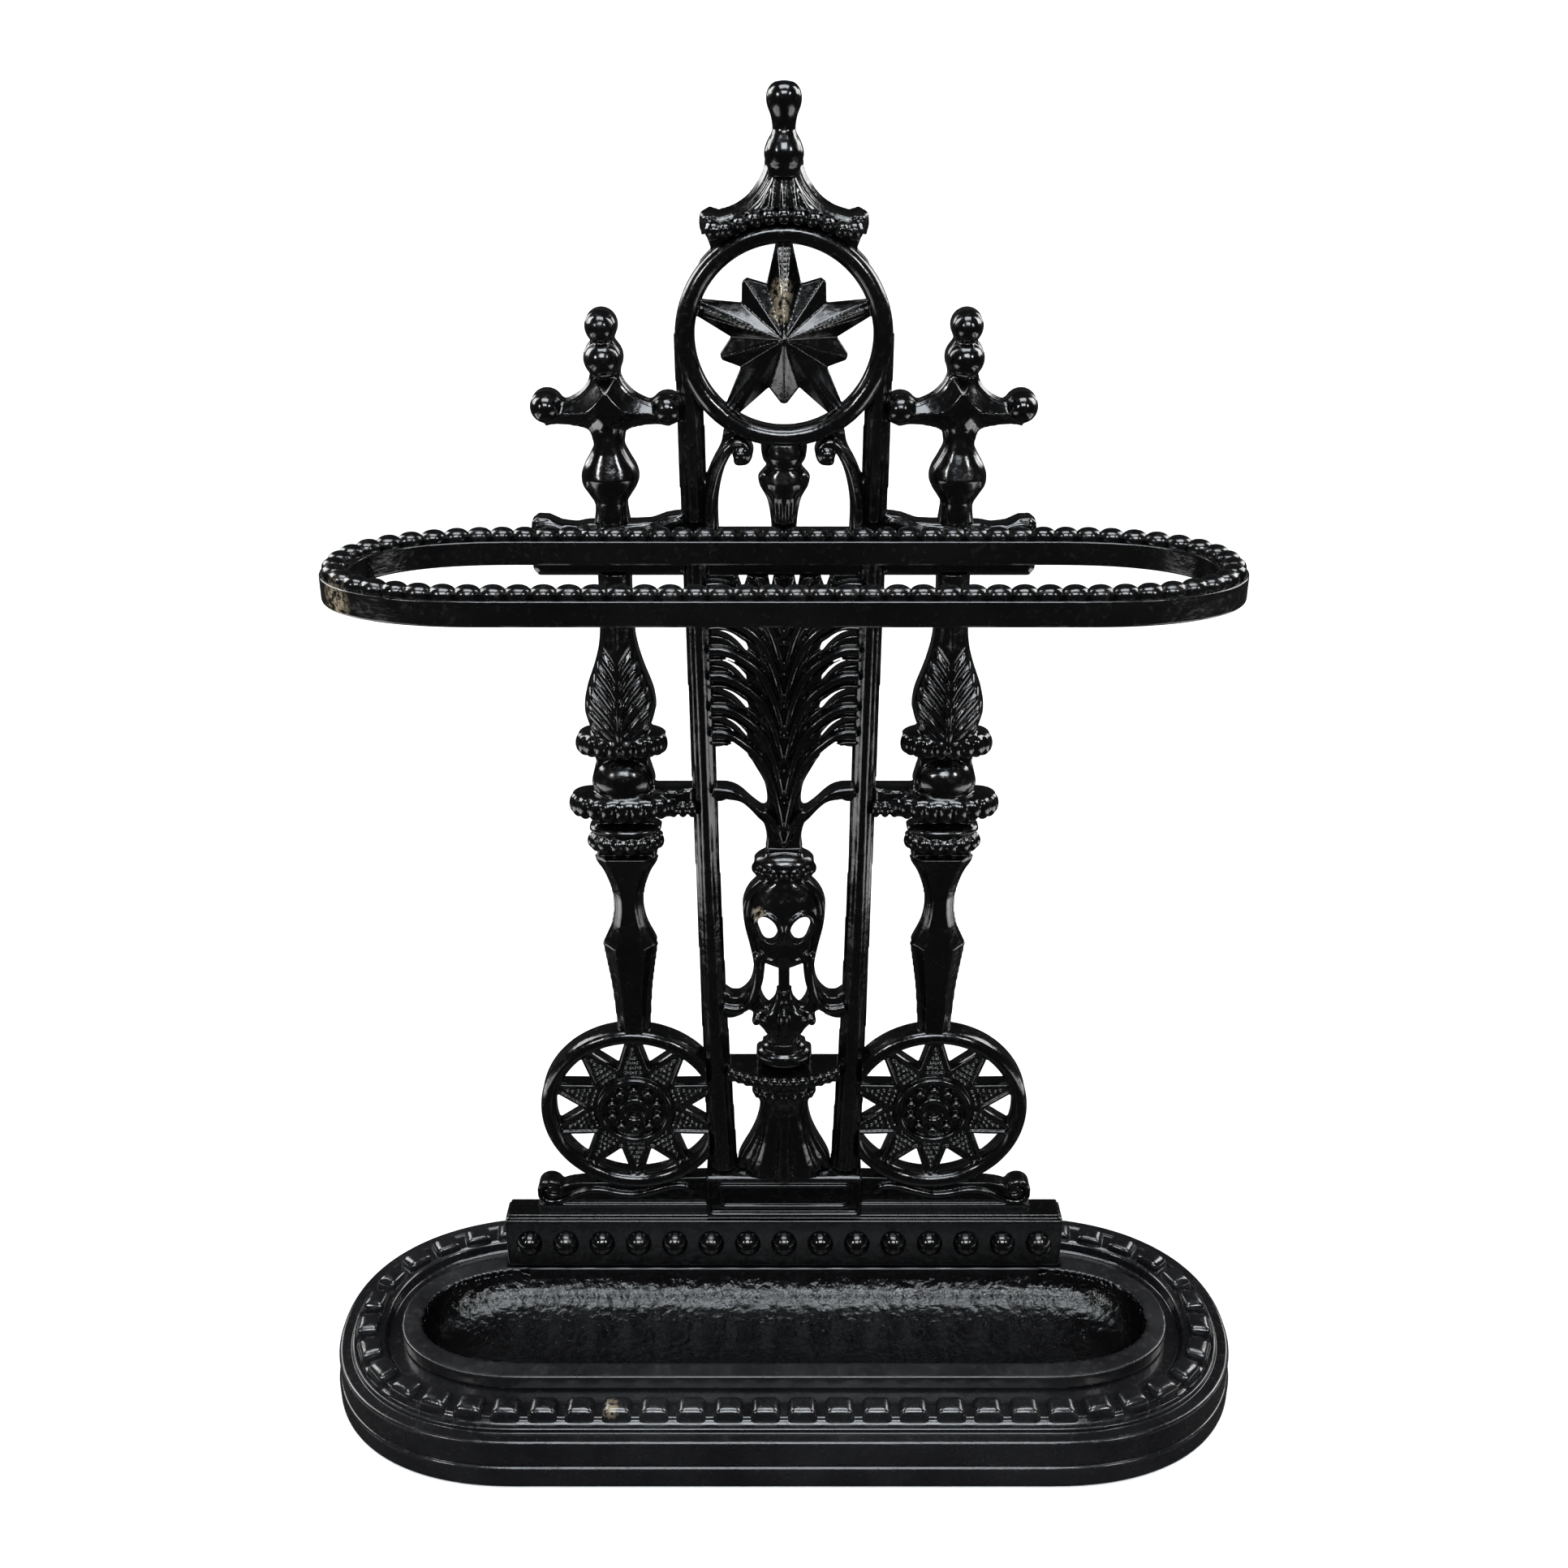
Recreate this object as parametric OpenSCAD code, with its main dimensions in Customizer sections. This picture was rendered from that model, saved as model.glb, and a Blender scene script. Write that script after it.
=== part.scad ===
// Cast-iron umbrella stand: a deep oval base with a toothed band and a loose
// drip tray, a pierced back panel on a beaded foot box, and an oval stick ring.
// Millimetres. +Z up, front towards -Y, origin at the middle of the base's underside.

/* [Base] */
// Half of the base's width
base_hw = 253.5; // [245:0.5:262]
// Half of the base's depth
base_hd = 93; // [90:0.5:98]
// Height of the lower plinth
plinth_h = 12; // [10:0.5:14]
// Height of the ledge outside the toothed band
ledge_z = 29; // [27:0.5:30]
// Number of teeth round the base
tooth_count = 56; // [40:2:60]

/* [Drip tray] */
// How far the loose tray's bowl hangs below its rim
bowl_depth = 20; // [14:0.5:22]
// Thickness of the tray's bowl
tray_wall = 2.6; // [2:0.1:3]

/* [Foot box] */
// Half of the box's width
box_hw = 163.5; // [155:0.5:165]
// Height of the box's top above the floor
box_top = 70; // [66:0.5:72]
// Number of round beads along the box's front
box_bead_count = 15; // [9:2:17]

/* [Stick ring] */
// Half of the ring's width
ring_hw = 210; // [200:0.5:215]
// Half of the ring's depth
ring_hd = 53.6; // [50:0.2:54]
// Width of the ring's band
band_w = 13; // [12:0.5:15]
// Height of the ring's band
band_h = 12; // [10:0.5:14]
// Number of beads on the ring
ring_bead_count = 84; // [60:2:86]

/* [Back panel] */
// Thickness of the panel's plate
plate_t = 10; // [8:0.5:11]
// How far the raised front stands off the plate
relief = 4; // [2:0.5:5]
// Width of the sloping step between the plate and the raised front
draft = 1.6; // [1:0.1:2]

/* [Hidden] */

black = "#1b1c1e";
iron = "#2a2b2e";
steel = "#8b8e92";

// Depths, front to back
panel_back = 54;
plate_front = panel_back - plate_t;
box_front = 38.5;
box_back = 57;
ring_cy = plate_front - ring_hd;
tray_cy = -1.4;

// Heights
seat_z = ledge_z + 1.5;
shelf_z = ledge_z - 3;
rim_top = 35;
ring_z = 466.4;
ring_top = ring_z + band_h;
bar_z = 457;
bar_top = 480;
wing_seat = 484;
plaque_top = 97;
panel_foot = 103;
wheel_z = 142.8;
medal_z = 571.5;

// Widths and radii of the panel's parts
spindle_x = 83.5;
wheel_x = 85;
wheel_r = 53.5;
wheel_in = 45.4;
medal_r = 50.3;
medal_in = 42.3;
plaque_hw = 44.8;
strip_hw = 143.5;
bar_hw = 123.4;

// Base: every outline follows the outer one at its own inset
end_len = 112;
oval_n = 2.2;
steps = 12;
casting_wall = 6;
pad_gap = 0.5;

// M5 fasteners
bolt_r = 2.5;
head_r = 4.6;
head_h = 3.5;
washer_r = 5;
washer_t = 1;
ring_bolt_x = 65;
foot_bolt_x = [-108, 0, 108];
foot_bolt_y = 48;
box_plate = 6;

// ---------- Outlines ----------

// A quarter of a rounded end, from the tip (t = 0) to the long side (t = 90)
function end_point(hw, hd, len, n, t) =
    [hw - len + len * pow(cos(t), 2 / n), hd * pow(sin(t), 2 / n)];

// A long oval with rounded ends, anticlockwise from the +X tip
function long_oval(hw, hd, len, n) = let (
    q = [for (i = [0:steps]) end_point(hw, hd, len, n, 90 * i / steps)]
) concat(
    q,
    [for (i = [steps:-1:0]) [-q[i][0], q[i][1]]],
    [for (i = [1:steps]) [-q[i][0], -q[i][1]]],
    [for (i = [steps:-1:1]) [q[i][0], -q[i][1]]]
);

// An outline of the base, its ends shortened by as much as it is inset
function base_oval(hw, hd) = long_oval(hw, hd, end_len - (base_hw - hw), oval_n);
function ring_oval(inset) =
    long_oval(ring_hw - inset, ring_hd - inset, 80 - inset, oval_n);

// A smooth curve through a list of points
function spline(p, n = 3) = concat(
    [for (i = [0:len(p) - 2]) let (
        a = p[max(i - 1, 0)], b = p[i], c = p[i + 1], d = p[min(i + 2, len(p) - 1)]
    ) for (k = [0:n - 1]) let (t = k / n)
        0.5 * (2 * b + (c - a) * t + (2 * a - 5 * b + 4 * c - d) * t * t
            + (3 * b - a - 3 * c + d) * t * t * t)],
    [p[len(p) - 1]]
);

function flipped(p) = [for (i = [len(p) - 1:-1:0]) [-p[i][0], p[i][1]]];

// Running length along a closed outline, and the point at one length
function lengths(p) = [for (i = 0, s = 0; i <= len(p);
    s = s + (i < len(p) ? norm(p[(i + 1) % len(p)] - p[i]) : 0), i = i + 1) s];
function along(p, l, s) = let (w = s % l[len(l) - 1]) [
    lookup(w, [for (i = [0:len(p)]) [l[i], p[i % len(p)][0]]]),
    lookup(w, [for (i = [0:len(p)]) [l[i], p[i % len(p)][1]]])
];

// Children repeated at even spacing along an outline, local +X pointing outwards
module around(p, count) {
    l = lengths(p);
    total = l[len(l) - 1];
    for (i = [0:count - 1]) {
        s = total * (i + 0.5) / count;
        here = along(p, l, s);
        ahead = along(p, l, s + 1) - along(p, l, s + total - 1);
        translate(here) rotate(atan2(ahead[1], ahead[0]) - 90) children();
    }
}

// ---------- Building blocks ----------

// A shape drawn in X and Z, from depth y0 (front) to y1 (back)
module slab(y0, y1) {
    translate([0, y1, 0]) rotate([90, 0, 0]) linear_extrude(y1 - y0) children();
}

// A cast shape: its full outline on the plate, with a narrower raised front
module casting(rise = relief) {
    slab(plate_front, panel_back) children();
    slab(plate_front - rise, plate_front + 3) offset(delta = -draft) children();
}

// A turned outline about x = 0 from [half width, height] pairs, lowest first
module turned(knots) {
    side = spline(knots);
    polygon(concat(side, flipped(side)));
}

module ring_2d(r_out, r_in) {
    difference() {
        circle(r_out, $fn = 96);
        circle(r_in, $fn = 96);
    }
}

// A star: its points reach tip_r, where each is 2 * tip_hw wide
module star_2d(points, tip_r, tip_hw, valley_r, turn = 0) {
    tip_turn = asin(tip_hw / tip_r);
    polygon([for (i = [0:points - 1]) for (p = [
        [tip_r, 90 + tip_turn], [tip_r, 90 - tip_turn], [valley_r, 90 - 180 / points]
    ]) let (a = p[1] - turn - 360 * i / points) p[0] * [cos(a), sin(a)]]);
}

module left_and_right(side) {
    mirror([side < 0 ? 0 : 1, 0, 0]) children();
}

// A rail's edges in X and Z; the wheels and the bar are cut to the same lines
rail_out = [[43.3, 99], [50.3, 571.5]];
rail_in = [[27.5, 99], [32.5, 212], [35, 302], [36.8, 432], [39.2, 571.5]];
module rail_2d() {
    polygon(concat([for (p = rail_out) [-p[0], p[1]]],
        [for (i = [4:-1:0]) [-rail_in[i][0], rail_in[i][1]]]));
}

// Room for the ring and its beads in front of the plate
module ring_room() {
    translate([-60, 0, ring_z]) cube([120, plate_front, band_h + 6]);
}

// Everything between the rails' inner edges
module between_rails(z0, z1) {
    intersection() {
        polygon(concat([for (p = rail_in) p], flipped(rail_in)));
        translate([-60, z0]) square([120, z1 - z0]);
    }
}

// ---------- Base ----------

module pad_2d(gap) {
    translate([-box_hw - gap, box_front - gap])
        square([2 * (box_hw + gap), box_back - box_front + 2 * gap]);
}

module base_plinth() {
    opening = base_oval(212, 45);
    color(black) difference() {
        union() {
            linear_extrude(plinth_h) polygon(base_oval(base_hw, base_hd));
            linear_extrude(ledge_z) polygon(base_oval(base_hw - 1.5, base_hd - 2));
            linear_extrude(seat_z) polygon(base_oval(base_hw - 10, base_hd - 11.5));
        }
        // Moat round the tray
        translate([0, 0, shelf_z]) linear_extrude(20)
            polygon(base_oval(base_hw - 24, base_hd - 28.5));
        // Opening that the tray's bowl hangs in
        translate([0, 0, -1]) linear_extrude(60) difference() {
            translate([0, tray_cy]) polygon(opening);
            pad_2d(0);
        }
        // Hollow underside
        translate([0, 0, -1]) linear_extrude(shelf_z - casting_wall + 1) difference() {
            polygon(base_oval(base_hw - 7.5, base_hd - 8));
            translate([0, tray_cy]) polygon(base_oval(218, 51));
            pad_2d(casting_wall);
        }
        // Way up to the foot bolts
        translate([-box_hw + 5, box_front + 4, -1])
            cube([2 * box_hw - 10, box_back - box_front - 8, 60]);
    }
}

module base_teeth() {
    mid = base_oval(base_hw - 17, base_hd - 22.5);
    pitch = lengths(mid)[len(mid)] / tooth_count;
    tooth = [[6, 0], [5.4, 3], [3.4, 6], [0, 7.6], [-3.5, 7.4], [-5.5, 6], [-6, 0]];
    color(black) translate([0, 0, seat_z]) around(mid, tooth_count)
        translate([0, pitch * 0.34, 0]) rotate([90, 0, 0])
            linear_extrude(pitch * 0.68) polygon(tooth);
}

// One row of the tray's surface: inset from the rim's edge, and height
function tray_row(inset, z) = let (hw = 217.2 - inset, hd = 49.4 - inset)
    [for (p = long_oval(hw, hd, max(76 - inset, 8), oval_n)) [p[0], p[1] + tray_cy, z]];

module drip_tray() {
    under = shelf_z + 0.3;
    floor_z = rim_top - bowl_depth;
    inner = [[11, rim_top], [12.5, rim_top - 5], [16, rim_top - 11],
        [23, rim_top - 16.5], [33, floor_z + 0.8], [47, floor_z]];
    outer = [for (i = [5:-1:2]) [inner[i][0] - tray_wall * 0.8, inner[i][1] - tray_wall]];
    rows = concat(outer, [[8.4, under], [0, under], [0, rim_top - 0.8], [0.8, rim_top]],
        inner);
    rings = [for (r = rows) tray_row(r[0], r[1])];
    n = len(rings[0]);
    color(iron) difference() {
        polyhedron(
            points = [for (r = rings) for (p = r) p],
            faces = concat(
                [[for (j = [0:n - 1]) j]],
                [for (i = [0:len(rings) - 2]) for (j = [0:n - 1])
                    [i * n + j, (i + 1) * n + j, (i + 1) * n + (j + 1) % n,
                        i * n + (j + 1) % n]],
                [[for (j = [n - 1:-1:0]) (len(rings) - 1) * n + j]]
            )
        );
        // Notch that lets the rim pass the foot box
        translate([0, 0, -1]) linear_extrude(60) pad_2d(pad_gap);
    }
}

module foot_box() {
    step = 2;
    color(black) difference() {
        union() {
            translate([-box_hw, box_front, shelf_z])
                cube([2 * box_hw, box_back - box_front, box_top - step - shelf_z]);
            translate([-box_hw + 1.5, box_front + 1.5, shelf_z])
                cube([2 * box_hw - 3, box_back - box_front - 3, box_top - shelf_z]);
        }
        translate([-box_hw + 5, box_front + 3.5, shelf_z - 1])
            cube([2 * box_hw - 10, box_back - box_front - 7,
                box_top - box_plate - shelf_z + 1]);
        for (x = foot_bolt_x) translate([x, foot_bolt_y, box_top - box_plate - 1])
            cylinder(h = box_plate + 2, r = bolt_r, $fn = 48);
    }
}

module box_beads() {
    pitch = 2 * (box_hw - 13.5) / (box_bead_count - 1);
    color(black) for (i = [0:box_bead_count - 1])
        translate([(i - (box_bead_count - 1) / 2) * pitch, box_front, 51.5])
            difference() {
                translate([0, 0.8, 0]) sphere(7.8, $fn = 48);
                translate([-10, 0, -10]) cube(20);
            }
}

// ---------- Back panel ----------

module plaque() {
    front = 42;
    panel_hw = 37.5;
    color(black) difference() {
        translate([-plaque_hw, 0, 0]) rotate([90, 0, 90]) linear_extrude(2 * plaque_hw)
            polygon([[front, box_top], [panel_back, box_top], [panel_back, panel_foot],
                [front + 5, panel_foot], [front, plaque_top]]);
        translate([-panel_hw, front - 1, 76.5]) cube([2 * panel_hw, 2.4, 15.5]);
        translate([0, foot_bolt_y, box_top - 1])
            cylinder(h = 9, r = bolt_r, $fn = 48);
    }
}

// The scroll under a wheel: a rolled end, a wavy top and a flat strip
module bracket(side) {
    top = spline([[-129, 84], [-121, 87.5], [-112, 90], [-101, 89], [-87, 87.5],
        [-75, 90.5], [-63, 93.5], [-52, 95], [-plaque_hw, 95]]);
    left_and_right(side) difference() {
        slab(41, panel_back) {
            translate([-136, 85.6]) circle(7.2, $fn = 40);
            polygon(concat([[-strip_hw, box_top], [-strip_hw, 80]], top,
                [[-plaque_hw, box_top]]));
        }
        translate([-wheel_x, panel_back + 1, wheel_z]) rotate([90, 0, 0])
            cylinder(h = 30, r = wheel_r, $fn = 96);
        translate([foot_bolt_x[0], foot_bolt_y, box_top - 1])
            cylinder(h = 9, r = bolt_r, $fn = 48);
    }
}
module scroll_bracket_left() { color(black) bracket(-1); }
module scroll_bracket_right() { color(black) bracket(1); }

// Everything on the rail's side of its outer edge, which the wheel stops at
module rail_side() {
    slab(plate_front - 20, panel_back + 20) polygon([[0, 0], [-rail_out[0][0], 0],
        [-rail_out[0][0], rail_out[0][1]], [-rail_out[1][0], rail_out[1][1]],
        [0, rail_out[1][1]]]);
}

module wheel(side) {
    left_and_right(side) difference() {
        translate([-wheel_x, 0, wheel_z]) union() {
            slab(plate_front, panel_back) ring_2d(wheel_r, wheel_in);
            slab(plate_front - relief, plate_front + 3)
                ring_2d(wheel_r - draft, wheel_in + draft);
            slab(plate_front + 1, panel_back - 1) star_2d(10, wheel_in + 1, 3.4, 30);
            slab(plate_front - 2.5, panel_back - 2) circle(20.7, $fn = 64);
            slab(plate_front - 3.5, plate_front + 2) circle(9, $fn = 48);
        }
        rail_side();
    }
}
module wheel_left() { color(black) wheel(-1); }
module wheel_right() { color(black) wheel(1); }

module spindle_lower(side) {
    foot_z = wheel_z + wheel_r - 2;
    profile = [[8.5, foot_z], [10.5, 224], [13.9, 246], [13.4, 251], [8.8, 261], [7.2, 273],
        [9, 284], [13, 295], [19.3, 303], [20.3, 312], [19, 319], [26, 323], [28.4, 331.5],
        [26, 340], [17, 344], [16.2, 351], [19, 357], [23.8, 366.5], [20, 375],
        [15.5, 379], [17.8, 386], [16.5, 397], [12, 410], [9, 424], [8.2, 440],
        [8.4, bar_z]];
    left_and_right(side) difference() {
        union() {
            translate([-spindle_x, 0, 0]) casting() turned(profile);
            // Short bar from the lower collar to the frame rail
            slab(plate_front, panel_back) difference() {
                translate([-spindle_x, 323]) square([45, 18]);
                rail_2d();
            }
        }
        translate([-wheel_x, panel_back + 1, wheel_z]) rotate([90, 0, 0])
            cylinder(h = 30, r = wheel_r, $fn = 96);
    }
}
module spindle_lower_left() { color(black) spindle_lower(-1); }
module spindle_lower_right() { color(black) spindle_lower(1); }

module spindle_upper(side) {
    body = [[8.4, wing_seat], [7.8, 493], [10.5, 497.5], [13.8, 504.5], [12.5, 511],
        [8.5, 519], [6.8, 527]];
    arms = spline([[0, 529], [7, 529], [13, 531], [20, 534], [28.5, 539], [20, 541],
        [13, 544.5], [8.5, 549], [6.3, 554], [0, 554]]);
    finial = [[6.3, 553], [7.5, 555], [9.4, 561.5], [7.4, 567], [5.2, 569.5],
        [6.6, 572], [7.6, 577], [5.5, 582], [0.5, 584]];
    left_and_right(side) difference() {
        translate([-spindle_x, 0, 0]) casting() {
            turned(body);
            translate([0, 525]) square([13.6, 8], center = true);
            polygon(concat(arms, flipped(arms)));
            for (m = [-1, 1]) translate([28.5 * m, 538.5]) circle(8, $fn = 40);
            turned(finial);
        }
        slab(0, 100) rail_2d();
    }
}
module spindle_upper_left() { color(black) spindle_upper(-1); }
module spindle_upper_right() { color(black) spindle_upper(1); }

module frame_rail(side) {
    left_and_right(side) difference() {
        casting() difference() {
            rail_2d();
            translate([-60, 0]) square([120, panel_foot]);
            translate([-60, 562]) square([120, 20]);
        }
        translate([0, panel_back + 1, medal_z]) rotate([90, 0, 0])
            cylinder(h = 30, r = medal_r, $fn = 96);
        ring_room();
    }
}
module frame_rail_left() { color(black) frame_rail(-1); }
module frame_rail_right() { color(black) frame_rail(1); }

module medallion() {
    apex = 27;
    color(black) {
        translate([0, 0, medal_z]) {
            slab(plate_front, panel_back) ring_2d(medal_r, medal_in);
            slab(plate_front - relief, plate_front + 3)
                ring_2d(medal_r - draft, medal_in + draft);
            slab(plate_front + 1, panel_back - 1) {
                star_2d(5, medal_in + 1, 4, 22);
                star_2d(5, 31.5, 1.5, 20, 36);
                circle(apex, $fn = 10);
            }
        }
    }
}

module pagoda_roof() {
    slope = spline([[37, 624.5], [30, 624.5], [23.5, 626], [15.5, 631], [10, 637.5],
        [7.4, 644]]);
    color(black) casting() difference() {
        polygon(concat([[33, 609], [35.8, 613.5]], slope, flipped(slope),
            [[-35.8, 613.5], [-33, 609]]));
        translate([0, medal_z]) circle(medal_r, $fn = 96);
    }
}

module top_finial() {
    color(black) translate([0, panel_back - 9, 0])
        rotate_extrude($fn = 48) polygon(concat([[0, 644]],
            spline([[7.2, 644], [8.2, 647], [8.9, 651.5], [7.4, 657], [5.1, 661],
                [5.9, 667], [7.9, 673], [6.2, 678.5], [0.1, 680.5]]), [[0, 680.5]]));
}

module c_scroll(side) {
    outer = [[-38.5, 484], [-38.5, 510.4], [-33, 516.5], [-28, 522.5], [-24.5, 525.5]];
    inner = spline([[-21, 523], [-24.5, 514], [-27.8, 503], [-30.6, 492], [-31.2, bar_top]]);
    left_and_right(side) casting(2.5) difference() {
        union() {
            polygon(concat([[-38.5, bar_top]], outer, inner));
            translate([-21, 517.5]) circle(5.6, $fn = 32);
        }
        rail_2d();
        translate([0, medal_z]) circle(medal_r, $fn = 96);
    }
}
module c_scroll_left() { color(black) c_scroll(-1); }
module c_scroll_right() { color(black) c_scroll(1); }

module baluster() {
    color(black) difference() {
        casting() difference() {
            turned([[6.2, bar_top], [7, 488], [8, 496], [11.8, 501], [12.3, 505.5],
                [8.3, 511], [10.5, 516], [11, 524]]);
            translate([0, medal_z]) circle(medal_r, $fn = 96);
        }
        ring_room();
    }
}

// The gap between two palm fronds, on the left
module frond_gap(dz) {
    translate([0, dz]) polygon(spline([[-45, 374.2], [-31, 374.2], [-26.5, 372.4],
        [-21.5, 368.6], [-18.6, 369], [-20.5, 374.5], [-24.5, 380], [-30, 383],
        [-45, 382]]));
}

module palm() {
    pitch = 15.6;
    stem = [[10, 307], [9.2, 314], [11, 323], [17, 331], [23, 336], [28, 337],
        [31.5, 335], [40, 334.5], [40, 440], [0, 440], [0, 307]];
    color(black) casting(3) difference() {
        intersection() {
            union() {
                polygon(stem);
                polygon(flipped(stem));
                between_rails(430, bar_z);
            }
            between_rails(300, bar_z);
        }
        for (m = [0, 1]) mirror([m, 0]) {
            for (i = [0:4]) frond_gap(i * pitch);
            // Wide gap above the lowest frond
            polygon(spline([[-45, 343.4], [-28.5, 343.4], [-22.5, 340], [-15, 332.5],
                [-8.5, 328], [-9, 340], [-13, 354], [-18, 362.5], [-23, 366.8],
                [-27.5, 368.4], [-31, 366], [-45, 365.5]]));
            polygon([[-24.5, bar_z + 1], [-16.4, bar_z + 1], [-20, 449]]);
            polygon([[-8.8, bar_z + 1], [-4.2, bar_z + 1], [-6, 449]]);
        }
    }
}

module urn() {
    body = [[9, 292], [13, 289], [19.5, 281.5], [22, 271], [20.5, 259], [18, 245],
        [17, 234], [18.5, 225], [23.5, 217.5], [29, 215], [36, 217]];
    foot = [[36, 205], [28.5, 203], [21, 206.5], [17, 203.5], [13, 198.5], [9.5, 197.5],
        [7.6, 191], [8, 187.5]];
    side = concat(spline(body, 2), spline(foot, 2));
    collar = [[9.6, 292], [14.5, 293.5], [17.2, 299.5], [14, 305.5], [9.6, 307]];
    color(black) casting() {
        turned(collar);
        intersection() {
            difference() {
                polygon(concat(flipped(side), [for (i = [0:len(side) - 1]) side[i]]));
                for (m = [0, 1]) mirror([m, 0]) {
                    // Slanting eye and the slot below it
                    translate([-9.6, 262.5]) rotate(24) hull() {
                        translate([0, 3.6]) circle(4.8, $fn = 32);
                        translate([0, -3.6]) circle(4.8, $fn = 32);
                    }
                    polygon([[-3, 238], [-9.6, 238], [-10.8, 227], [-12.6, 217],
                        [-11, 209.5], [-6, 206.5], [-3.4, 212]]);
                }
            }
            between_rails(180, 300);
        }
    }
}

// Half-round shelf between the rails, with a small torus above it
module dish() {
    dish_r = 48;
    dish_front = 29.5;
    module half_round(z0, z1, r, reach) {
        intersection() {
            translate([0, reach + r, z0]) cylinder(h = z1 - z0, r = r, $fn = 96);
            translate([-31, 0, z0]) cube([62, plate_front + 1, z1 - z0]);
        }
    }
    color(black) {
        half_round(167, 173, dish_r, dish_front);
        slab(plate_front, panel_back) between_rails(163, 178);
        translate([0, plate_front + 2, 178]) cylinder(h = 9.5, r = 11.5, $fn = 64);
        half_round(163, 167, dish_r - 3, dish_front + 3);
    }
}

module pedestal() {
    color(black) casting() turned([[17, panel_foot], [27, 104.5], [27.3, 109], [24, 118],
        [18.5, 127.5], [15, 136], [13.8, 144], [14.6, 149], [18, 155], [18, 160],
        [16, 163]]);
}

// Flat bar that carries the ring, in three lengths between and outside the rails
module crossbar() {
    wing_top = spline([[-bar_hw, 479], [-121, 484.5], [-114, 484], [-106, 481],
        [-98.5, 480.5], [-92.5, 484], [-74.5, 484], [-68, 482.5], [-60, 484.5],
        [-49.5, 487]]);
    color(black) difference() {
        slab(plate_front, panel_back) {
            difference() {
                for (m = [0, 1]) mirror([m, 0])
                    polygon(concat([[-49.5, bar_z], [-bar_hw, bar_z]], wing_top));
                for (m = [0, 1]) mirror([m, 0]) {
                    rail_2d();
                    translate([-spindle_x - 12, wing_seat]) square([24, 6]);
                }
            }
            between_rails(bar_z, bar_top);
        }
        for (x = [-ring_bolt_x, ring_bolt_x])
            translate([x, panel_back + 1, ring_z + band_h / 2]) rotate([90, 0, 0])
                cylinder(h = plate_t + 2, r = bolt_r, $fn = 48);
    }
}

// ---------- Stick ring ----------

module stick_ring() {
    color(black) difference() {
        translate([0, ring_cy, ring_z]) linear_extrude(band_h) difference() {
            polygon(ring_oval(0));
            polygon(ring_oval(band_w));
        }
        for (x = [-ring_bolt_x, ring_bolt_x])
            translate([x, plate_front + 1, ring_z + band_h / 2]) rotate([90, 0, 0])
                cylinder(h = 10, r = bolt_r, $fn = 48);
    }
}

module ring_beads() {
    bead_r = 4.8;
    color(black) translate([0, ring_cy, ring_top])
        around(ring_oval(band_w / 2), ring_bead_count) difference() {
            translate([0, 0, 0.5]) sphere(bead_r, $fn = 32);
            translate([0, 0, -6]) cube(12, center = true);
        }
}

// ---------- Fasteners ----------

// A hexagon-headed bolt pointing +Z, its head under z = 0
module bolt(length) {
    translate([0, 0, -head_h]) cylinder(h = head_h, r = head_r, $fn = 6);
    cylinder(h = length, r = bolt_r, $fn = 48);
}

module washer() {
    difference() {
        cylinder(h = washer_t, r = washer_r, $fn = 48);
        translate([0, 0, -1]) cylinder(h = washer_t + 2, r = bolt_r, $fn = 48);
    }
}

module ring_bolt_places() {
    for (x = [-ring_bolt_x, ring_bolt_x])
        translate([x, panel_back + washer_t, ring_z + band_h / 2])
            rotate([90, 0, 0]) children();
}

module foot_bolt_places() {
    for (x = foot_bolt_x)
        translate([x, foot_bolt_y, box_top - box_plate - washer_t]) children();
}

module ring_bolts() { color(steel) ring_bolt_places() bolt(washer_t + plate_t + 8); }
module ring_washers() { color(steel) ring_bolt_places() washer(); }
module foot_bolts() { color(steel) foot_bolt_places() bolt(washer_t + box_plate + 7); }
module foot_washers() { color(steel) foot_bolt_places() washer(); }

base_plinth();
base_teeth();
drip_tray();
foot_box();
box_beads();
plaque();
scroll_bracket_left();
scroll_bracket_right();
wheel_left();
wheel_right();
spindle_lower_left();
spindle_lower_right();
spindle_upper_left();
spindle_upper_right();
frame_rail_left();
frame_rail_right();
medallion();
pagoda_roof();
top_finial();
c_scroll_left();
c_scroll_right();
baluster();
palm();
urn();
dish();
pedestal();
crossbar();
stick_ring();
ring_beads();
ring_bolts();
ring_washers();
foot_bolts();
foot_washers();
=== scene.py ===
"""The finished look of the cast-iron umbrella stand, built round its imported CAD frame.

Most castings are modelled as a field of distances in millimetres, on a grid whose
zero surface becomes the mesh. The base and the ring are lofted outlines instead, and
the teeth and beads are copies of one rounded block.
"""

import math

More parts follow.
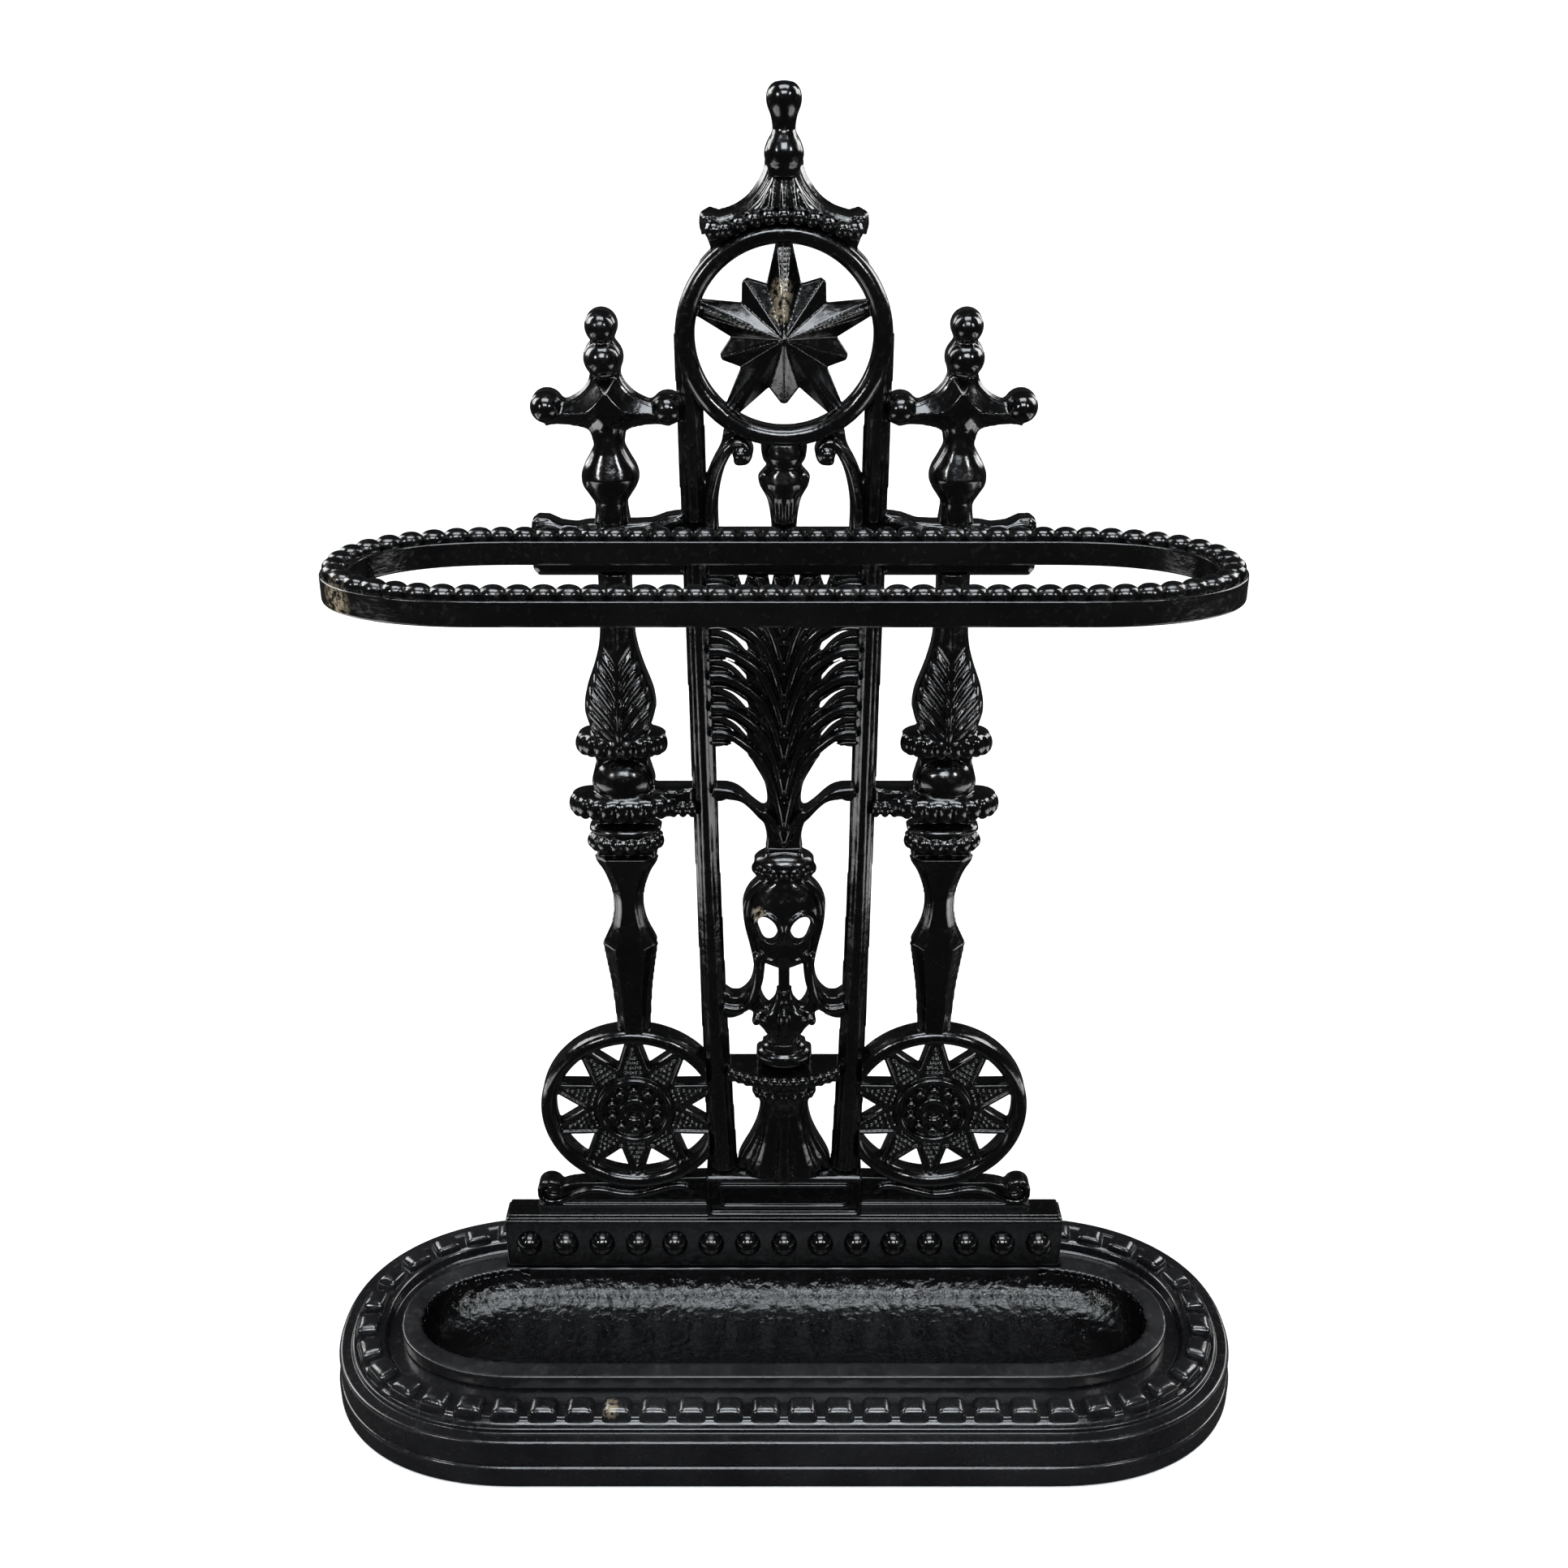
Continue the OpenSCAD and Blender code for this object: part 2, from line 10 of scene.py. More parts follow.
import bpy
import numpy as np
import openvdb
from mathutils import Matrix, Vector


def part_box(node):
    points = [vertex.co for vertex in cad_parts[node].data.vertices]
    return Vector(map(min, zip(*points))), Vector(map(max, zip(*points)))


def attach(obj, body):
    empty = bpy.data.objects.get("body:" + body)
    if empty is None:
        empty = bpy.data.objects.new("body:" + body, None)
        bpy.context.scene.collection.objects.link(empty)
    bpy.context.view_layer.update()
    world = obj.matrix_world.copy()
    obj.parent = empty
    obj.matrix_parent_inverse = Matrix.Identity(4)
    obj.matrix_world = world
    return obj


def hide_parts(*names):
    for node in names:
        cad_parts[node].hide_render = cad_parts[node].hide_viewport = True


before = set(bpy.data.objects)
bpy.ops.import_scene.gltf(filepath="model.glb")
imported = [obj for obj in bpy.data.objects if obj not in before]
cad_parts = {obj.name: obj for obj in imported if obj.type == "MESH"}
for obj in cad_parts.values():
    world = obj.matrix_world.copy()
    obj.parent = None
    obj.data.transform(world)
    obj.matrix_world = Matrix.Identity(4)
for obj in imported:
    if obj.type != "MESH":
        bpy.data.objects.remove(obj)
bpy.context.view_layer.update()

MM = 0.001
FINE = 0.62      # grid pitch of the small ornaments
COARSE = 0.75    # grid pitch of the large castings


def low(node):
    """Lowest corner of a CAD node, in millimetres."""
    return np.array(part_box(node)[0]) / MM


def high(node):
    """Highest corner of a CAD node, in millimetres."""
    return np.array(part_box(node)[1]) / MM


# Driving sizes, read off the frame
BACK = high("frame_rail_left")[1]
PLATE = low("crossbar")[1]
PANEL_FOOT = low("frame_rail_left")[2]
BOX_TOP = high("foot_box")[2]
BOX_FRONT = low("foot_box")[1]
BAR_LOW = low("crossbar")[2]
BAR_TOP = low("baluster")[2]
MEDAL_R = (high("medallion")[0] - low("medallion")[0]) / 2
MEDAL_Z = (high("medallion")[2] + low("medallion")[2]) / 2
WHEEL_R = (high("wheel_left")[2] - low("wheel_left")[2]) / 2
WHEEL_X = -low("wheel_left")[0] - WHEEL_R
WHEEL_Z = (high("wheel_left")[2] + low("wheel_left")[2]) / 2
RING_HW = high("stick_ring")[0]
RING_HD = (high("stick_ring")[1] - low("stick_ring")[1]) / 2
RING_Y = (high("stick_ring")[1] + low("stick_ring")[1]) / 2
RING_LOW = low("stick_ring")[2]
RING_TOP = high("stick_ring")[2]
BASE_HW = high("base_plinth")[0]
BASE_HD = high("base_plinth")[1]
LEDGE = high("base_plinth")[2] - 1.5
RIM_TOP = high("drip_tray")[2]

# Sizes shared by several pieces
SPINDLE_X = 83.5       # axis of each spindle
RING_BAND = 13.0       # width of the ring's band
RING_END = 80.0        # length of the ring's curved ends
RING_POWER = 2.25
BASE_END = 112.0       # length of the base's curved ends
BASE_POWER = 2.2
WHEEL_POINTS = 10


# ---------- Materials ----------

class Nodes:
    """A material's node tree, with short calls for the nodes that these materials use."""

    def __init__(self, name):
        self.material = bpy.data.materials.new(name)
        self.material.use_nodes = True
        self.tree = self.material.node_tree
        self.shader = self.tree.nodes["Principled BSDF"]
        coords = self.tree.nodes.new("ShaderNodeTexCoord")
        self.place = coords.outputs["Object"]

    def link(self, source, socket):
        self.tree.links.new(source, socket)

    def noise(self, scale, detail=2.0, rough=0.5, stretch=None):
        node = self.tree.nodes.new("ShaderNodeTexNoise")
        node.inputs["Scale"].default_value = scale
        node.inputs["Detail"].default_value = detail
        node.inputs["Roughness"].default_value = rough
        source = self.place
        if stretch:
            mapping = self.tree.nodes.new("ShaderNodeMapping")
            mapping.inputs["Scale"].default_value = stretch
            self.link(source, mapping.inputs["Vector"])
            source = mapping.outputs["Vector"]
        self.link(source, node.inputs["Vector"])
        return node.outputs["Fac"]

    def cells(self, scale):
        node = self.tree.nodes.new("ShaderNodeTexVoronoi")
        node.inputs["Scale"].default_value = scale
        self.link(self.place, node.inputs["Vector"])
        return node.outputs["Distance"]

    def span(self, value, a, b, c=0.0, d=1.0):
        """value from a..b rescaled to c..d, and kept inside it."""
        node = self.tree.nodes.new("ShaderNodeMapRange")
        for key, number in (("From Min", a), ("From Max", b), ("To Min", c), ("To Max", d)):
            node.inputs[key].default_value = number
        self.link(value, node.inputs["Value"])
        return node.outputs["Result"]

    def math(self, kind, a, b):
        node = self.tree.nodes.new("ShaderNodeMath")
        node.operation = kind
        for socket, value in zip(node.inputs, (a, b)):
            if isinstance(value, (int, float)):
                socket.default_value = value
            else:
                self.link(value, socket)
        return node.outputs[0]

    def mix(self, amount, a, b):
        """Colour a where amount is 0, b where it is 1."""
        node = self.tree.nodes.new("ShaderNodeMix")
        node.data_type = "RGBA"
        self.link(amount, node.inputs[0])
        for socket, value in ((node.inputs[6], a), (node.inputs[7], b)):
            if isinstance(value, tuple):
                socket.default_value = (*value, 1)
            else:
                self.link(value, socket)
        return node.outputs[2]

    def bump(self, layers):
        """Bumps in a chain: (height, depth in metres) each."""
        normal = None
        for height, depth in layers:
            node = self.tree.nodes.new("ShaderNodeBump")
            node.inputs["Strength"].default_value = 1.0
            node.inputs["Distance"].default_value = depth
            self.link(height, node.inputs["Height"])
            if normal:
                self.link(normal, node.inputs["Normal"])
            normal = node.outputs["Normal"]
        self.link(normal, self.shader.inputs["Normal"])

    def away(self, point):
        """Distance in millimetres from a point of the object."""
        node = self.tree.nodes.new("ShaderNodeVectorMath")
        node.operation = "DISTANCE"
        self.link(self.place, node.inputs[0])
        node.inputs[1].default_value = [c * MM for c in point]
        return self.math("MULTIPLY", node.outputs["Value"], 1 / MM)

    def edges(self, start, end):
        """1 on sharp outer edges, 0 elsewhere."""
        geometry = self.tree.nodes.new("ShaderNodeNewGeometry")
        return self.span(geometry.outputs["Pointiness"], start, end)


def enamel(name, shade, gloss, ripple, scratches, bare=()):
    """Black enamel on cast iron: shade is how pale it is, gloss its roughness, and ripple
    the depth of its waves. Each place in bare, as a point and a radius in millimetres,
    is a spot of lost paint."""
    m = Nodes(name)
    fine = m.noise(900, 2)
    tint = m.mix(m.span(m.noise(22, 3), 0.35, 0.7), (shade * 0.6, shade * 0.6, shade * 0.7),
                 (shade * 1.4, shade * 1.4, shade * 1.5))
    # Pale grey specks, few and far between: painted glints that stand in for sparkling highlights on the
    # enamel; they are a little rougher too.
    glint_cells = m.span(m.cells(260), 0.045, 0.02)
    rare = m.span(m.noise(60, 1), 0.6, 0.64)
    glint_specks = m.math("MULTIPLY", glint_cells, rare)
    tint = m.mix(glint_specks, tint, (0.11, 0.11, 0.105))
    # Lighter grey on sharp edges: a painted edge highlight that stands in for the thin bright lines of
    # light along the ridges; these edges are a little rougher too.
    edge_highlight = m.math("MULTIPLY", m.edges(0.54, 0.62), m.span(m.noise(70, 3), 0.5, 0.62))
    tint = m.mix(m.math("MULTIPLY", edge_highlight, 0.5), tint, (0.075, 0.072, 0.068))
    chips = m.noise(420, 3, 0.6)
    for point, radius in bare:
        spot = m.span(m.away(point), radius * 0.45, radius, 1, 0)
        spot = m.math("MULTIPLY", spot, m.span(chips, 0.42, 0.56))
        tint = m.mix(spot, tint, (0.17, 0.14, 0.095))
    m.link(tint, m.shader.inputs["Base Color"])
    rough = m.span(m.noise(48, 4, 0.6), 0.3, 0.75, gloss * 0.7, gloss * 1.5)
    rough = m.math("ADD", rough, m.span(m.noise(300, 3), 0.54, 0.7, 0, 0.16))
    rough = m.math("ADD", rough, m.math("MULTIPLY", glint_specks, 0.3))
    rough = m.math("ADD", rough, m.math("MULTIPLY", edge_highlight, 0.12))
    m.link(rough, m.shader.inputs["Roughness"])
    m.shader.inputs["Specular IOR Level"].default_value = 0.5
    m.shader.inputs["Coat Weight"].default_value = 0.35
    m.shader.inputs["Coat Roughness"].default_value = 0.06
    brushed = m.noise(90, 3, 0.6, stretch=scratches)
    m.bump([
        (m.noise(75, 2), ripple),
        (m.noise(230, 3), ripple * 0.3),
        (m.noise(520, 2), ripple * 0.12),
        (brushed, ripple * 0.3),
        (fine, ripple * 0.04),
    ])
    return m.material


def wrinkled_enamel():
    """The tray's bowl: thick enamel that has dried in wrinkles."""
    m = Nodes("wrinkled_enamel")
    patches = m.span(m.noise(30, 3), 0.35, 0.7)
    tint = m.mix(patches, (0.0005, 0.0005, 0.0007), (0.0014, 0.0014, 0.0017))
    # Pale grey specks: painted glints that stand in for sparkling highlights in the bowl.
    rare = m.span(m.noise(50, 1), 0.58, 0.62)
    glint_cells = m.math("MULTIPLY", m.span(m.cells(210), 0.05, 0.02), rare)
    tint = m.mix(glint_cells, tint, (0.13, 0.13, 0.125))
    m.link(tint, m.shader.inputs["Base Color"])
    rough = m.span(m.noise(60, 3), 0.3, 0.75, 0.13, 0.27)
    m.link(rough, m.shader.inputs["Roughness"])
    m.shader.inputs["Specular IOR Level"].default_value = 0.42
    m.shader.inputs["Coat Weight"].default_value = 0.1
    m.shader.inputs["Coat Roughness"].default_value = 0.1
    m.bump([
        (m.cells(190), 0.0006),
        (m.noise(240, 3, 0.6), 0.0008),
        (m.noise(60, 2), 0.0005),
    ])
    return m.material


def bolt_steel():
    """Blackened steel of the bolts and washers behind the panel."""
    m = Nodes("bolt_steel")
    tint = m.mix(m.span(m.noise(300, 4), 0.4, 0.65), (0.05, 0.05, 0.052), (0.12, 0.105, 0.09))
    m.link(tint, m.shader.inputs["Base Color"])
    m.shader.inputs["Metallic"].default_value = 1.0
    m.link(m.span(m.noise(500, 3), 0.3, 0.7, 0.35, 0.55), m.shader.inputs["Roughness"])
    m.bump([(m.noise(900, 3), 0.0001)])
    return m.material


def floor_paint():
    m = Nodes("floor_paint")
    tint = m.mix(m.span(m.noise(3, 2), 0.3, 0.7), (0.86, 0.86, 0.86), (0.88, 0.88, 0.88))
    m.link(tint, m.shader.inputs["Base Color"])
    m.shader.inputs["Roughness"].default_value = 0.9
    return m.material


PANEL_ENAMEL = enamel("panel_enamel", 0.0011, 0.15, 0.0005, (1, 1, 0.35),
                      [((-2.4, 38, MEDAL_Z + 21), 9), ((-2.0, 38, MEDAL_Z + 12), 6), ((-14, 36, 273), 5)])
# The base and its teeth have a paler shade than the panel. This is painted light: the white floor's
# reflection and bounce light on the base, painted into its colour.
BASE_ENAMEL_FLOOR_LIT = enamel("base_enamel_floor_lit", 0.006, 0.19, 0.00035, (1, 3, 3), [((-91.5, -74, 36), 6)])
RING_ENAMEL = enamel("ring_enamel", 0.0015, 0.18, 0.0007, (0.4, 1, 3), [((-196, -42, 472), 11)])
TRAY_ENAMEL = wrinkled_enamel()
RIM_ENAMEL = enamel("rim_enamel", 0.007, 0.33, 0.0003, (4, 0.5, 1))
STEEL = bolt_steel()


# ---------- Distances in the X-Z plane, negative inside ----------

def smooth_min(a, b, k):
    """The nearer of two distances, with a fillet about k wide where they cross."""
    if k <= 0:
        return np.minimum(a, b)
    h = np.maximum(k - np.abs(a - b), 0)
    return np.minimum(a, b) - h * h / (4 * k)


def smooth_max(a, b, k):
    return -smooth_min(-a, -b, k)


def spline(points, n=6):
    """A smooth curve through a few points."""
    p = np.array(points, float)
    p = np.vstack([2 * p[0] - p[1], p, 2 * p[-1] - p[-2]])
    out = []
    for a, b, c, d in zip(p[:-3], p[1:-2], p[2:-1], p[3:]):
        for t in np.arange(n) / n:
            out.append(0.5 * (2 * b + (c - a) * t + (2 * a - 5 * b + 4 * c - d) * t * t
                              + (3 * b - a - 3 * c + d) * t ** 3))
    out.append(p[-2])
    return np.array(out)


def both_halves(half):
    """A closed outline, from the points on one side of x = 0."""
    return np.vstack([half, (half * [-1, 1])[::-1]])


def polar(r, degrees):
    return r * math.cos(math.radians(degrees)), r * math.sin(math.radians(degrees))


def nearest_on(x, z, points):
    """Distance to an open line, and how far along it the nearest point lies, 0 to 1."""
    p = np.array(points, float)
    seg = p[1:] - p[:-1]
    lengths = np.hypot(*seg.T)
    starts = np.concatenate([[0], np.cumsum(lengths)])
    best = np.full(np.broadcast(x, z).shape, 1e9)
    share = np.zeros_like(best)
    for a, s, length, start in zip(p[:-1], seg, lengths, starts):
        t = np.clip(((x - a[0]) * s[0] + (z - a[1]) * s[1]) / length ** 2, 0, 1)
        d = np.hypot(x - a[0] - t * s[0], z - a[1] - t * s[1])
        closer = d < best
        best = np.where(closer, d, best)
        share = np.where(closer, (start + t * length) / starts[-1], share)
    return best, share


def polygon(x, z, points):
    """Signed distance to a closed outline."""
    p = np.array(points, float)
    best = np.full(np.broadcast(x, z).shape, 1e9)
    inside = np.zeros(best.shape, bool)
    for a, b in zip(p, np.roll(p, -1, axis=0)):
        s = b - a
        size = s @ s
        if size < 1e-9:
            continue
        t = np.clip(((x - a[0]) * s[0] + (z - a[1]) * s[1]) / size, 0, 1)
        best = np.minimum(best, np.hypot(x - a[0] - t * s[0], z - a[1] - t * s[1]))
        crosses = ((a[1] <= z) != (b[1] <= z)) & (
            x < a[0] + s[0] * (z - a[1]) / (s[1] if s[1] else 1e-9))
        inside ^= crosses
    return np.where(inside, -best, best)


def circle(x, z, cx, cz, r):
    return np.hypot(x - cx, z - cz) - r


def half_round(x, y, half_width, depth, middle):
    """Distance, roughly, to the front half of an upright ellipse centred at y = middle."""
    gauge = np.hypot(x / half_width, np.minimum(y - middle, 0) / depth)
    return (gauge - 1) * np.minimum(half_width, depth)


def rail_outer(z):
    """Half width to the outside of the frame's rails at each height."""
    return np.interp(z, [99, 571.5], [43.3, 50.3])


def rail_inner(z):
    """Half width of the opening between the rails at each height."""
    return np.interp(z, [99, 212, 302, 432, 571.5], [27.5, 32.5, 35, 36.8, 39.2])


# ---------- Sculpting ----------

class Clay:
    """A casting as distances on a grid of points."""

    def __init__(self, low_corner, high_corner, pitch=FINE):
        self.low = np.array(low_corner, float)
        self.pitch = pitch
        self.axes = [np.arange(a, b + pitch, pitch) for a, b in zip(low_corner, high_corner)]
        self.x, self.y, self.z = np.meshgrid(*self.axes, indexing="ij", sparse=True)
        self.field = np.full([len(a) for a in self.axes], 50.0, np.float32)

    def add(self, distance, blend=0.0):
        self.field = smooth_min(self.field, distance, blend).astype(np.float32)

    def keep(self, distance, blend=0.0):
        """Cuts away whatever lies outside the given shape."""
        self.field = smooth_max(self.field, distance, blend).astype(np.float32)

    def near(self, centre, reach):
        """The part of the grid round a point, and its coordinates."""
        spans = []
        for axis, c, r in zip(self.axes, centre, reach):
            spans.append(slice(np.searchsorted(axis, c - r), np.searchsorted(axis, c + r)))
        i, j, k = spans
        return tuple(spans), self.x[i], self.y[:, j], self.z[:, :, k]

    def clear_round(self, cx, cz, r):
        """Cuts a round hole through, for the wheel or medallion that stands there."""
        self.keep(-circle(self.x, self.z, cx, cz, r))

    def flat_back(self):
        self.keep(self.y - BACK, 0.6)

    def strand(self, path, across, centre, thick, blend):
        """Adds a round wire along a path, where across is the grid's x or its size."""
        away, _ = nearest_on(across, self.z, path)
        self.add(np.hypot(away, self.y - centre) - thick, blend)

    def ball(self, centre, radii, blend=0.6):
        """Adds an ellipsoid."""
        radii = np.broadcast_to(np.array(radii, float), 3)
        where, x, y, z = self.near(centre, radii + 2 + 2 * blend)
        if min(s.stop - s.start for s in where) <= 0:
            return
        u = (x - centre[0]) / radii[0]
        v = (y - centre[1]) / radii[1]
        w = (z - centre[2]) / radii[2]
        d = (np.sqrt(u * u + v * v + w * w) - 1) * radii.min()
        self.field[where] = smooth_min(self.field[where], d, blend)

    def slab(self, outline, front, blend, back=BACK):
        """A flat piece with straight sides; blend rounds its front edge."""
        return smooth_max(smooth_max(outline, front - self.y, blend), self.y - back, 0.8)

    def plate(self, outline, blend=1.2, front=PLATE):
        """The flat back plate of a relief, narrowing a little towards its front."""
        return self.slab(outline + 0.05 * (BACK - self.y), front, blend)

    def relief(self, outline, height, inset, slope, blend):
        """A raised front: it rises from the inset outline to height, at the given slope."""
        flank = (outline + inset + slope * (PLATE - self.y)) / math.hypot(1, slope)
        top = PLATE - height - self.y
        body = smooth_max(flank, top, blend)
        return np.maximum(body, self.y - PLATE - 3)

    def lean(self, width):
        """How fast a half width changes with height."""
        return np.gradient(width[0, 0], self.pitch)[None, None]

    def turned(self, cx, width, depth):
        """A half-round front of the given half width and depth at each height."""
        middle = PLATE + 1
        solid = width > 0.4
        width = np.maximum(width, 0.4)
        d = half_round(self.x - cx, self.y, width, depth, middle)
        d = d / np.sqrt(1 + 0.7 * self.lean(width) ** 2)
        return np.where(solid, np.maximum(d, self.y - middle - 3), 50)

    def profile(self, knots):
        """Half width at each height of the grid, from a few (half width, height) points."""
        curve = spline(knots)
        z = self.z[0, 0]
        w = np.interp(z, curve[:, 1], curve[:, 0], left=-3, right=-3)
        return w[None, None]

    def outline(self, cx, width):
        """Distance to a turned outline's edge in the X-Z plane."""
        return (np.abs(self.x - cx) - width) / np.sqrt(1 + self.lean(width) ** 2)

    def mesh(self, name, flip=False):
        """The zero surface as a Blender object. flip mirrors it in X."""
        f = self.field
        for axis in range(3):
            for end in (0, -1):
                face = [slice(None)] * 3
                face[axis] = end
                f[tuple(face)] = np.maximum(f[tuple(face)], self.pitch * 0.5)
        grid = openvdb.FloatGrid(background=4.0)
        grid.copyFromArray(np.clip(f, -4, 4))
        points, _, quads = grid.convertToPolygons(isovalue=0.0, adaptivity=0.0)
        points = (points * self.pitch + self.low) * MM
        if flip:
            points[:, 0] *= -1
        return mesh_object(name, points, quads)


def mesh_object(name, points, faces):
    """A smooth object from points in metres and four-cornered faces, facing outwards."""
    a, b, c, d = (points[faces[:, i]] for i in range(4))
    volume = np.einsum("ij,ij->i", a, np.cross(b, c)).sum()
    volume += np.einsum("ij,ij->i", a, np.cross(c, d)).sum()
    if volume < 0:
        faces = faces[:, ::-1]
    data = bpy.data.meshes.new(name)
    data.vertices.add(len(points))
    data.vertices.foreach_set("co", points.astype(np.float32).ravel())
    data.loops.add(faces.size)
    data.loops.foreach_set("vertex_index", faces.astype(np.int32).ravel())
    data.polygons.add(len(faces))
    data.polygons.foreach_set("loop_start", np.arange(0, faces.size, 4, dtype=np.int32))
    data.polygons.foreach_set("use_smooth", np.ones(len(faces), bool))
    data.update(calc_edges=True)
    data.validate()
    made = bpy.data.objects.new(name, data)
    bpy.context.scene.collection.objects.link(made)
    return made


def fit(piece, material, *nodes, body="frame", slot="black_enamel"):
    """Gives a piece its material, its body, and the CAD nodes that it stands for."""
    piece.data.materials.append(material)
    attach(piece, body)
    if nodes:
        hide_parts(*nodes)
    return piece


def cast(clay, name, flip=False):
    """A piece of the panel in place of the CAD node of that name."""
    fit(clay.mesh(f"{name}_casting", flip), PANEL_ENAMEL, name)


def both_sides(clay, name):
    """A left piece and its mirror image on the right."""
    cast(clay, f"{name}_left")
    cast(clay, f"{name}_right", flip=True)


def bead_arc(clay, cx, z, half_width, depth, count, radii):
    """A row of beads round the front of a half-round collar."""
    for i in range(count):
        turn = math.radians(-86 + 172 * i / (count - 1))
        x = cx + half_width * math.sin(turn)
        y = PLATE + 3 - depth * math.cos(turn)
        clay.ball((x, y, z), radii, 0.5)


def collar(clay, cx, z, half_width, depth, thick, beads=0, radii=(3, 3, 4), drop=0.3, blend=1.6):
    """A rounded half-round collar, with a row of beads a share, drop, below its middle."""
    rim = half_round(clay.x - cx, clay.y, half_width, depth, PLATE + 3)
    disc = smooth_max(rim, np.abs(clay.z - z) - thick / 2, thick * 0.85)
    clay.add(smooth_max(disc, clay.y - BACK, 0.8), blend)
    bead_arc(clay, cx, z - thick * drop, half_width - radii[0] + 0.4, depth - radii[1] + 0.9,
             beads, radii)


# ---------- Panel: wheels ----------

def star_corners(points, tip_r, tip_hw, valley_r):
    """Outline of a star whose blunt tips are 2 * tip_hw wide."""
    lean = math.degrees(math.asin(tip_hw / tip_r))
    corners = []
    for i in range(points):
        turn = 90 - 360 * i / points
        corners += [polar(tip_r, turn + lean), polar(tip_r, turn - lean),
                    polar(valley_r, turn - 180 / points)]
    return corners


def outline_gauge(x, z, corners):
    """0 at the middle of an outline and 1 on it, in straight lines from the middle."""
    gauge = np.full(np.broadcast(x, z).shape, 9.0)
    p = np.array(corners)
    for a, b in zip(p, np.roll(p, -1, axis=0)):
        cross = a[0] * b[1] - a[1] * b[0]
        s = (x * b[1] - z * b[0]) / cross
        t = (a[0] * z - a[1] * x) / cross
        gauge = np.where((s >= -1e-6) & (t >= -1e-6), s + t, gauge)
    return gauge


def wheels():
    """The two wheels at the panel's foot, each a starred rim round a hub."""
    clay = Clay((-WHEEL_X - WHEEL_R - 2, 34, WHEEL_Z - WHEEL_R - 2),
                (-40, BACK + 1.5, WHEEL_Z + WHEEL_R + 2), 0.6)
    x = clay.x + WHEEL_X
    z = clay.z - WHEEL_Z
    y = clay.y
    r = np.hypot(x, z)
    inner = 45.2
    rim = np.abs(r - (WHEEL_R + inner) / 2) - (WHEEL_R - inner) / 2
    clay.add(clay.plate(rim, 1.6, PLATE + 0.8))
    clay.add(np.hypot(r - 48.9, (y - PLATE - 0.6) * 0.92) - 4.4, 1.0)
    # Star, each point a raised frame round a pebbled face
    star = polygon(x, z, star_corners(WHEEL_POINTS, inner + 2, 2.8, 28.5))
    face = PLATE + 0.6
    clay.add(clay.slab(star, face, 0.8, BACK - 1), 1.2)
    frame_line = np.hypot(star + 1.3, y - face + 0.5) - 1.05
    clay.add(np.where(r > 20, frame_line, 50), 0.5)
    seed = np.random.default_rng(7)
    for i in range(WHEEL_POINTS):
        along = np.array(polar(1, 90 - 360 / WHEEL_POINTS * i))
        across = np.array([-along[1], along[0]])
        for reach, count in ((24.0, 4), (27.4, 4), (30.6, 3), (33.6, 2), (36.6, 1), (39.4, 1)):
            for j in range(count):
                side = (j - (count - 1) / 2) * 2.7
                spot = along * reach + across * side + seed.normal(0, 0.15, 2)
                clay.ball((spot[0] - WHEEL_X, face - 0.1, spot[1] + WHEEL_Z), (1.35, 1.6, 1.35), 0.25)
    # Hub: a dished disc with a raised edge, ten bosses and a ring round a dimple
    clay.add(smooth_max(r - 21.3, np.abs(y - PLATE - 3.6) - 5.0, 1.2), 0.6)
    clay.keep(-smooth_max(r - 19.0, y - PLATE - 0.4, 0.8), 0.8)
    clay.add(np.hypot(r - 19.9, y - PLATE + 1.2) - 1.8, 0.7)
    for i in range(WHEEL_POINTS):
        bx, bz = polar(13.4, 360 / WHEEL_POINTS * (i + 0.5))
        clay.ball((bx - WHEEL_X, PLATE - 0.6, bz + WHEEL_Z), (2.9, 3.2, 2.9), 0.5)
    clay.add(smooth_max(r - 6.4, PLATE - 0.4 - y, 1.2), 0.5)
    clay.add(np.hypot(r - 7.0, y - PLATE + 1.2) - 1.9, 0.6)
    clay.ball((-WHEEL_X, PLATE + 0.2, WHEEL_Z), (3.6, 1.6, 3.6), 0.8)
    clay.flat_back()
    clay.keep(clay.x + rail_outer(clay.z) - 0.9)
    both_sides(clay, "wheel")


# ---------- Panel: spindles ----------

